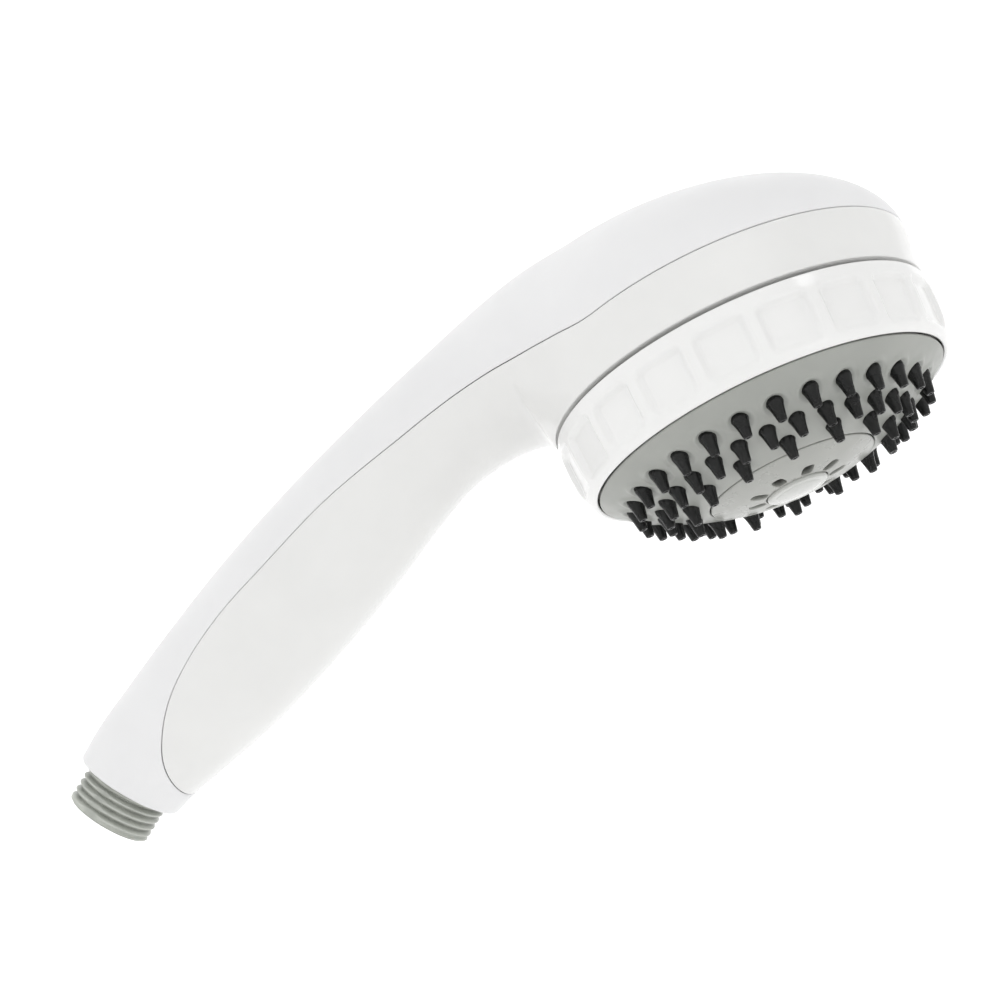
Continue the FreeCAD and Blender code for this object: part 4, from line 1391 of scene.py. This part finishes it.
@dataclass
class SprayFace:
    """The grey domed face, with a soft collar round each outer nozzle."""

    head: HeadFrame
    sphere: float = 67.5
    sphere_centre: float = 53.0
    outer: float = 41.68
    opening: float = 19.9
    wall: float = 2.0
    row_radius: float = 34.9
    row_count: int = 28
    collar_high: float = 0.55
    collar_radius: float = 2.85
    collar_wide: float = 0.52
    dish_deep: float = 0.25
    dish_radius: float = 1.9

    def level(self, radius: np.ndarray) -> np.ndarray:
        """The plain dome's height at a radius."""
        return self.sphere_centre - np.sqrt(self.sphere**2 - radius**2)

    def relief(self, radius: np.ndarray, angle: np.ndarray) -> np.ndarray:
        """How far the face stands out round the outer nozzles.

        Args:
            radius: distance from the head's axis.
            angle: angle round it.

        Returns:
            The rise towards the spray side.
        """
        step = 2 * math.pi / self.row_count
        turn = (angle / step) % 1.0 - 0.5
        aside = self.row_radius * turn * step
        outward = radius - self.row_radius
        gap = np.hypot(aside, outward)
        ring = np.exp(-(((gap - self.collar_radius) / self.collar_wide) ** 2))
        lean = 0.7 + 0.3 * np.clip(outward / 2.8, -1.0, 1.0)
        dish = -self.dish_deep * np.exp(-((gap / self.dish_radius) ** 2))
        return self.collar_high * ring * lean + dish

    def build(self, paints: Paints) -> None:
        """Make the face.

        Args:
            paints: the finishes.
        """
        fine = np.array([0.0, 0.06, 0.15, 0.3])
        plain = np.linspace(self.opening + 0.6, 28.0, 14)
        collared = np.linspace(28.4, 41.0, 44)
        last = [self.outer - 0.42]
        radii = np.concatenate([self.opening + fine, plain, collared, last, self.outer - fine[::-1]])
        angles = np.linspace(0, 2 * math.pi, self.row_count * 20 + 1)
        radius, angle = np.meshgrid(radii, angles, indexing="ij")
        up = self.level(radius) - self.relief(radius, angle)
        points = np.stack([radius * np.cos(angle), radius * np.sin(angle), up], -1)
        points, faces = weld(points.reshape(-1, 3), grid_faces(len(radii), len(angles)))
        shell = thicken(points, faces, self.wall, [Lip(everywhere, 0.28)])
        item = piece("spray_face", *shell, self.head.matrix())
        settle(item, SPRAY_HEAD, "face_grey", paints, "face_plate")


@dataclass
class Nozzles:
    """Three rows of rubber nozzles that point straight out of the face."""

    head: HeadFrame
    face: SprayFace
    length: float = 4.0
    rows: tuple[tuple[str, float, int, float], ...] = (
        ("Outer row", 34.9, 28, 180.0 / 28),
        ("Middle row", 29.3, 28, 0.0),
        ("Inner row", 24.0, 14, 540.0 / 28),
    )

    def single(self) -> tuple[np.ndarray, Faces]:
        """One nozzle, with its root at the origin and its tip below.

        Returns:
            The points and faces.
        """
        profile = np.array(
            [
                (0.0, -2.6),
                (0.4, -2.7),
                (0.45, -self.length + 0.06),
                (0.52, -self.length),
                (0.86, -self.length),
                (0.98, -self.length + 0.14),
                (1.1, -3.3),
                (1.42, -1.6),
                (1.7, -0.5),
                (1.95, 0.05),
                (1.95, 1.3),
                (0.0, 1.4),
            ]
        )
        return lathe(profile, 18)

    def build(self, paints: Paints) -> None:
        """Make every nozzle as a copy of one.

        Args:
            paints: the finishes.
        """
        points, faces = self.single()
        item = piece("rubber_nozzles", points, faces)
        recipe = Recipe("nozzle_rows")
        rings = []
        for name, radius, count, phase in self.rows:
            many = recipe.size(f"{name} count", count, whole=True)
            wide = recipe.size(f"{name} radius", radius * MM)
            deep = recipe.size(f"{name} level", float(self.face.level(np.array(radius))) * MM)
            turn = recipe.size(f"{name} turn", math.radians(phase))
            placed = recipe.placed(
                recipe.start.outputs["Geometry"], Translation=recipe.vector(X=wide, Z=deep)
            )
            copies = around(recipe, placed, many)
            rings.append(recipe.placed(copies, Rotation=recipe.vector(Z=turn)))
        recipe.run(item, recipe.joined("rows", rings), paints.get("rubber_black"))
        item.data.transform(self.head.matrix())
        settle(item, SPRAY_HEAD, "rubber_black", paints, "nozzle_mat")


@dataclass
class CentreDisc:
    """The paler disc in the middle of the face, with its ring of slots."""

    head: HeadFrame
    sphere: float = 67.55
    sphere_centre: float = 53.0
    rim: float = 19.65
    hole: float = 7.45
    slots: int = 9
    slot_radius: float = 9.8
    slot_long: float = 1.95
    slot_wide: float = 1.4
    phase: float = 13.0
    wall: float = 1.7

    def sector(self) -> tuple[np.ndarray, Faces]:
        """One slot and the sheet round it, as nested rings from the slot outwards.

        Returns:
            The points and faces.
        """
        half = math.pi / self.slots
        side = np.linspace(self.hole, self.rim, 22)
        turn = np.linspace(-half, half, 25)
        border = np.concatenate(
            [
                np.stack([self.rim * np.cos(turn), self.rim * np.sin(turn)], -1)[:-1],
                np.stack([side[::-1] * np.cos(half), side[::-1] * np.sin(half)], -1)[:-1],
                np.stack([self.hole * np.cos(turn), self.hole * np.sin(turn)], -1)[::-1][:-1],
                np.stack([side * np.cos(half), -side * np.sin(half)], -1)[:-1],
            ]
        )
        centre = np.array([self.slot_radius, 0.0])
        aim = border - centre
        angle = np.arctan2(aim[:, 1] / self.slot_wide, aim[:, 0] / self.slot_long)
        power = 2 / 3.0
        slot = centre + np.stack(
            [
                self.slot_long * np.sign(np.cos(angle)) * np.abs(np.cos(angle)) ** power,
                self.slot_wide * np.sign(np.sin(angle)) * np.abs(np.sin(angle)) ** power,
            ],
            -1,
        )
        by_slot, by_border = [0.0, 0.02, 0.045, 0.08], [0.96, 0.975, 0.988, 1.0]
        shares = np.concatenate([by_slot, np.linspace(0.14, 0.93, 11), by_border])
        rings = slot[None] + (border - slot)[None] * shares[:, None, None]
        radius = np.linalg.norm(rings, axis=-1)
        up = self.sphere_centre - np.sqrt(self.sphere**2 - radius**2)
        points = np.concatenate([rings, up[..., None]], -1)
        count = len(border)
        faces = []
        for row in range(len(shares) - 1):
            low, high = row * count, (row + 1) * count
            for column in range(count):
                beside = (column + 1) % count
                faces.append((high + beside, high + column, low + column, low + beside))
        return points.reshape(-1, 3), faces

    def build(self, paints: Paints) -> None:
        """Make the disc from copies of one sector, then give it its wall.

        Args:
            paints: the finishes.
        """
        item = piece("massage_disc", *self.sector())
        recipe = Recipe("massage_slots")
        count = recipe.size("Slots", self.slots, whole=True)
        phase = recipe.size("First slot", math.radians(self.phase))
        copies = around(recipe, recipe.start.outputs["Geometry"], count)
        turned = recipe.placed(copies, Rotation=recipe.vector(Z=phase))
        recipe.run(item, turned, paints.get("disc_grey"))
        points, faces = mesh_arrays(item)
        bpy.data.objects.remove(item)
        if normals_of(points, faces)[:, 2].mean() > 0:
            faces = [face[::-1] for face in faces]
        shell = thicken(points, faces, self.wall, [Lip(everywhere, 0.22)])
        item = piece("massage_disc", *shell, self.head.matrix())
        settle(item, SPRAY_HEAD, "disc_grey", paints, "centre_disc")


@dataclass
class CentreCap:
    """The button in the middle of the disc."""

    head: HeadFrame
    radius: float = 7.2
    front: float = -15.3
    back: float = -13.7
    dome_reach: float = 6.7
    dome_curve: float = 0.012
    groove_radius: float = 5.6
    groove_wide: float = 0.35
    groove_deep: float = 0.08

    def build(self, paints: Paints) -> None:
        """Make the cap: a shallow dome with a soft shoulder and a faint groove round it.

        Args:
            paints: the finishes.
        """
        spread = np.linspace(0, self.dome_reach, 28)
        groove = self.groove_deep * np.exp(-(((spread - self.groove_radius) / self.groove_wide) ** 2))
        dome = self.front + self.dome_curve * spread**2 + groove
        start = (self.dome_reach + 0.1, float(dome[-1]) + 0.03, 0)
        shoulder = rounded([start, (self.radius, self.front + 0.85, 0.5), (self.radius, self.back, 0.1)], 6)
        profile = np.vstack([np.stack([spread, dome], -1), shoulder, [[0.0, self.back]]])
        item = piece("centre_button", *lathe(profile, 96), self.head.matrix())
        settle(item, SPRAY_HEAD, "cap_pale", paints, "centre_cap")


# ------------------------------------------------------------------ inlet


@dataclass
class Inlet:
    """The threaded inlet that the hose screws on to."""

    crest: float = 10.4775
    depth: float = 1.1
    pitch: float = 1.814
    length: float = 9.4
    flat: float = 10.0
    bore: float = 6.5
    groove_slope: float = 2.3
    groove_softness: float = 0.25
    run_in: tuple[float, float] = (0.3, 1.5)
    run_out: float = 0.4
    pick_margin: float = 0.03

    def blank(self) -> tuple[np.ndarray, Faces]:
        """The inlet before its thread is cut, with closely spaced rows along the thread.

        Returns:
            The points and faces.
        """
        start = rounded([(self.bore, 14.0, 0.2), (self.bore, 0.0, 0.5), (9.9, 0.0, 0.25)], 4)
        rows = np.linspace(0.45, self.length - 0.1, 76)
        threaded = np.stack([np.full_like(rows, self.crest), rows], -1)
        rest = rounded(
            [
                (10.3, self.length + 0.1, 0.1),
                (10.2, 16.5, 0.1),
                (10.9, 16.5, 0.1),
                (10.9, 18.5, 0.1),
                (9.6, 18.5, 0.1),
                (9.6, 34.0, 0.2),
                (6.56, 34.0, 0.2),
                (6.56, 20.0, 0.1),
                (4.8, 20.0, 0.1),
                (4.8, 14.0, 0.1),
            ],
            3,
        )
        return lathe(np.vstack([start, threaded, rest]), 144)

    def build(self, paints: Paints) -> None:
        """Cut the thread and the two flats into the blank.

        Args:
            paints: the finishes.
        """
        item = piece("threaded_inlet", *self.blank())
        recipe = Recipe("inlet_thread")
        crest = recipe.size("Crest radius", self.crest * MM)
        depth = recipe.size("Thread depth", self.depth * MM)
        pitch = recipe.size("Pitch", self.pitch * MM)
        length = recipe.size("Thread length", self.length * MM)
        flat = recipe.size("Half width over flats", self.flat * MM)
        spot = recipe.add("GeometryNodeInputPosition").outputs[0]
        x, y, z = recipe.add("ShaderNodeSeparateXYZ", {0: spot}).outputs
        radius = recipe.math("SQRT", recipe.plus(recipe.times(x, x), recipe.times(y, y)))
        turn = recipe.over(recipe.math("ARCTAN2", y, x), 2 * math.pi)
        climb = recipe.minus(recipe.over(z, pitch), turn)
        phase = recipe.math("FRACT", recipe.plus(climb, 4.0))
        wave = recipe.math("ABSOLUTE", recipe.minus(phase, 0.5))
        slope = recipe.times(wave, self.groove_slope)
        groove = recipe.math("SMOOTH_MIN", slope, 1.0, self.groove_softness)
        ramp_in = recipe.ramp(z, self.run_in[0] * MM, self.run_in[1] * MM, rising=True)
        ramp_out = recipe.ramp(z, recipe.minus(length, self.run_out * MM), length, rising=False)
        cut = recipe.times(recipe.minus(1.0, groove), recipe.times(ramp_in, ramp_out))
        ratio = recipe.over(recipe.minus(crest, recipe.times(cut, depth)), radius)
        bound = recipe.math("MAXIMUM", recipe.times(y, ratio), recipe.times(flat, -1.0))
        moved = recipe.vector(X=recipe.times(x, ratio), Y=recipe.math("MINIMUM", bound, flat), Z=z)
        outside = recipe.math("GREATER_THAN", radius, recipe.minus(crest, self.pick_margin * MM))
        pick = recipe.times(outside, recipe.math("LESS_THAN", z, length))
        inputs = {"Geometry": recipe.start.outputs["Geometry"], "Selection": pick, "Position": moved}
        shape = recipe.add("GeometryNodeSetPosition", inputs).outputs[0]
        recipe.run(item, shape, paints.get("inlet_grey"))
        settle(item, CASING, "inlet_grey", paints, "inlet_connector")


# ------------------------------------------------------------------ what shows of the inside


def dress_inner_parts(paints: Paints) -> None:
    """Give every part that is still shown the finish of its slot.

    Args:
        paints: the finishes.
    """
    slots = {item["node"]: item["material_slot"] for item in frame["record"]["subparts"]}
    for name, item in frame["nodes"].items():
        if not item.hide_render:
            paints.dress(item, slots[name])
            LOG.info("%s: finished as %s", name, slots[name])


# ------------------------------------------------------------------ studio


@dataclass
class Studio:
    """A pale floor, soft light and the camera."""

    head: HeadFrame
    focal: float = 62.7067
    distance: float = 391.027
    slide: tuple[float, float] = (60.807, 15.083)
    right: tuple[float, float, float] = (0.885926, 0.280166, -0.369652)
    up: tuple[float, float, float] = (0.431076, -0.203186, 0.879141)
    floor_level: float = -620.0
    floor_radius: float = 2600.0
    wall_high: float = 2600.0
    floor_glow: float = 0.33
    aim: tuple[float, float, float] = (0.04, 0.0, 0.12)
    lamps: tuple[tuple[str, tuple[float, float, float], float, float], ...] = (
        ("key", (0.1, -0.5, 1.0), 0.16, 0.22),
        ("side", (0.75, -0.45, 0.3), 0.2, 0.12),
    )

    def camera(self) -> None:
        """Aim the camera; its directions and distances are given in the head frame."""
        right = np.array(self.right) / np.linalg.norm(self.right)
        up = np.array(self.up) - right * (np.array(self.up) @ right)
        up /= np.linalg.norm(up)
        away = np.cross(right, up)
        place = -self.slide[0] * right - self.slide[1] * up + self.distance * away
        axes = self.head.axes()
        turn = Matrix([list(row) for row in (np.array([right, up, away]) @ axes).T]).to_4x4()
        data = bpy.data.cameras.new("camera")
        data.sensor_width = 36.0
        data.lens = self.focal
        data.clip_start = 0.01
        data.clip_end = 20.0
        item = bpy.data.objects.new("camera", data)
        item.matrix_world = Matrix.Translation(Vector(self.head.to_row(place)) * MM) @ turn
        bpy.context.scene.collection.objects.link(item)
        bpy.context.scene.camera = item

    def floor(self) -> None:
        """A pale floor that curves up into a backdrop all round."""
        level, bend = 0.7, 0.3
        curve = np.linspace(0, math.pi / 2, 14)[1:]
        reach = np.concatenate([np.linspace(0, level, 8), level + bend * np.sin(curve)])
        climb = np.concatenate([np.zeros(8), bend * (1 - np.cos(curve))])
        profile = np.stack([reach * self.floor_radius, climb * self.floor_radius + self.floor_level], -1)
        profile = np.vstack([profile, [[self.floor_radius, self.wall_high]]])
        points, faces = lathe(profile[::-1], 64, closed=False)
        item = piece("floor", points, faces)
        material = bpy.data.materials.new("floor_paper")
        material.use_nodes = True
        tree = material.node_tree
        shader = tree.nodes["Principled BSDF"]
        shader.inputs["Base Color"].default_value = (0.8, 0.8, 0.8, 1.0)
        shader.inputs["Roughness"].default_value = 0.9
        shader.inputs["Specular IOR Level"].default_value = 0.1
        shader.inputs["Emission Color"].default_value = (1.0, 1.0, 1.0, 1.0)
        shader.inputs["Emission Strength"].default_value = self.floor_glow
        item.data.materials.append(material)

    def lamp(self, name: str, place: tuple[float, float, float], size: float, power: float) -> None:
        """A square soft light aimed at the object.

        Args:
            name: the lamp's name.
            place: where it stands, in metres.
            size: the side of its square, in metres.
            power: its power in watts.
        """
        data = bpy.data.lights.new(name, "AREA")
        data.shape = "SQUARE"
        data.size = size
        data.energy = power
        item = bpy.data.objects.new(name, data)
        item.location = place
        aim = Vector(self.aim) - Vector(place)
        item.rotation_euler = aim.to_track_quat("-Z", "Y").to_euler()
        bpy.context.scene.collection.objects.link(item)

    def build(self) -> None:
        """Set up the studio."""
        self.camera()
        self.floor()
        world = bpy.data.worlds.new("studio")
        world.use_nodes = True
        background = world.node_tree.nodes["Background"]
        background.inputs["Color"].default_value = (1.0, 1.0, 1.0, 1.0)
        background.inputs["Strength"].default_value = 1.0
        bpy.context.scene.world = world
        bpy.context.scene.view_settings.view_transform = "Standard"
        for lamp in self.lamps:
            self.lamp(*lamp)


def main() -> None:
    """Build every sub-assembly in order."""
    logging.basicConfig(level=logging.INFO, format="%(name)s: %(message)s")
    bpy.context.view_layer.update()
    head = HeadFrame.from_joint("selector_turn")
    paints = Paints()
    face = SprayFace(head)
    for part in (
        Casing(head),
        SelectorRing(head),
        face,
        Nozzles(head, face),
        CentreDisc(head),
        CentreCap(head),
        Inlet(),
    ):
        part.build(paints)
    dress_inner_parts(paints)
    Studio(head).build()
    bpy.context.view_layer.update()


if __name__ == "__main__":
    main()
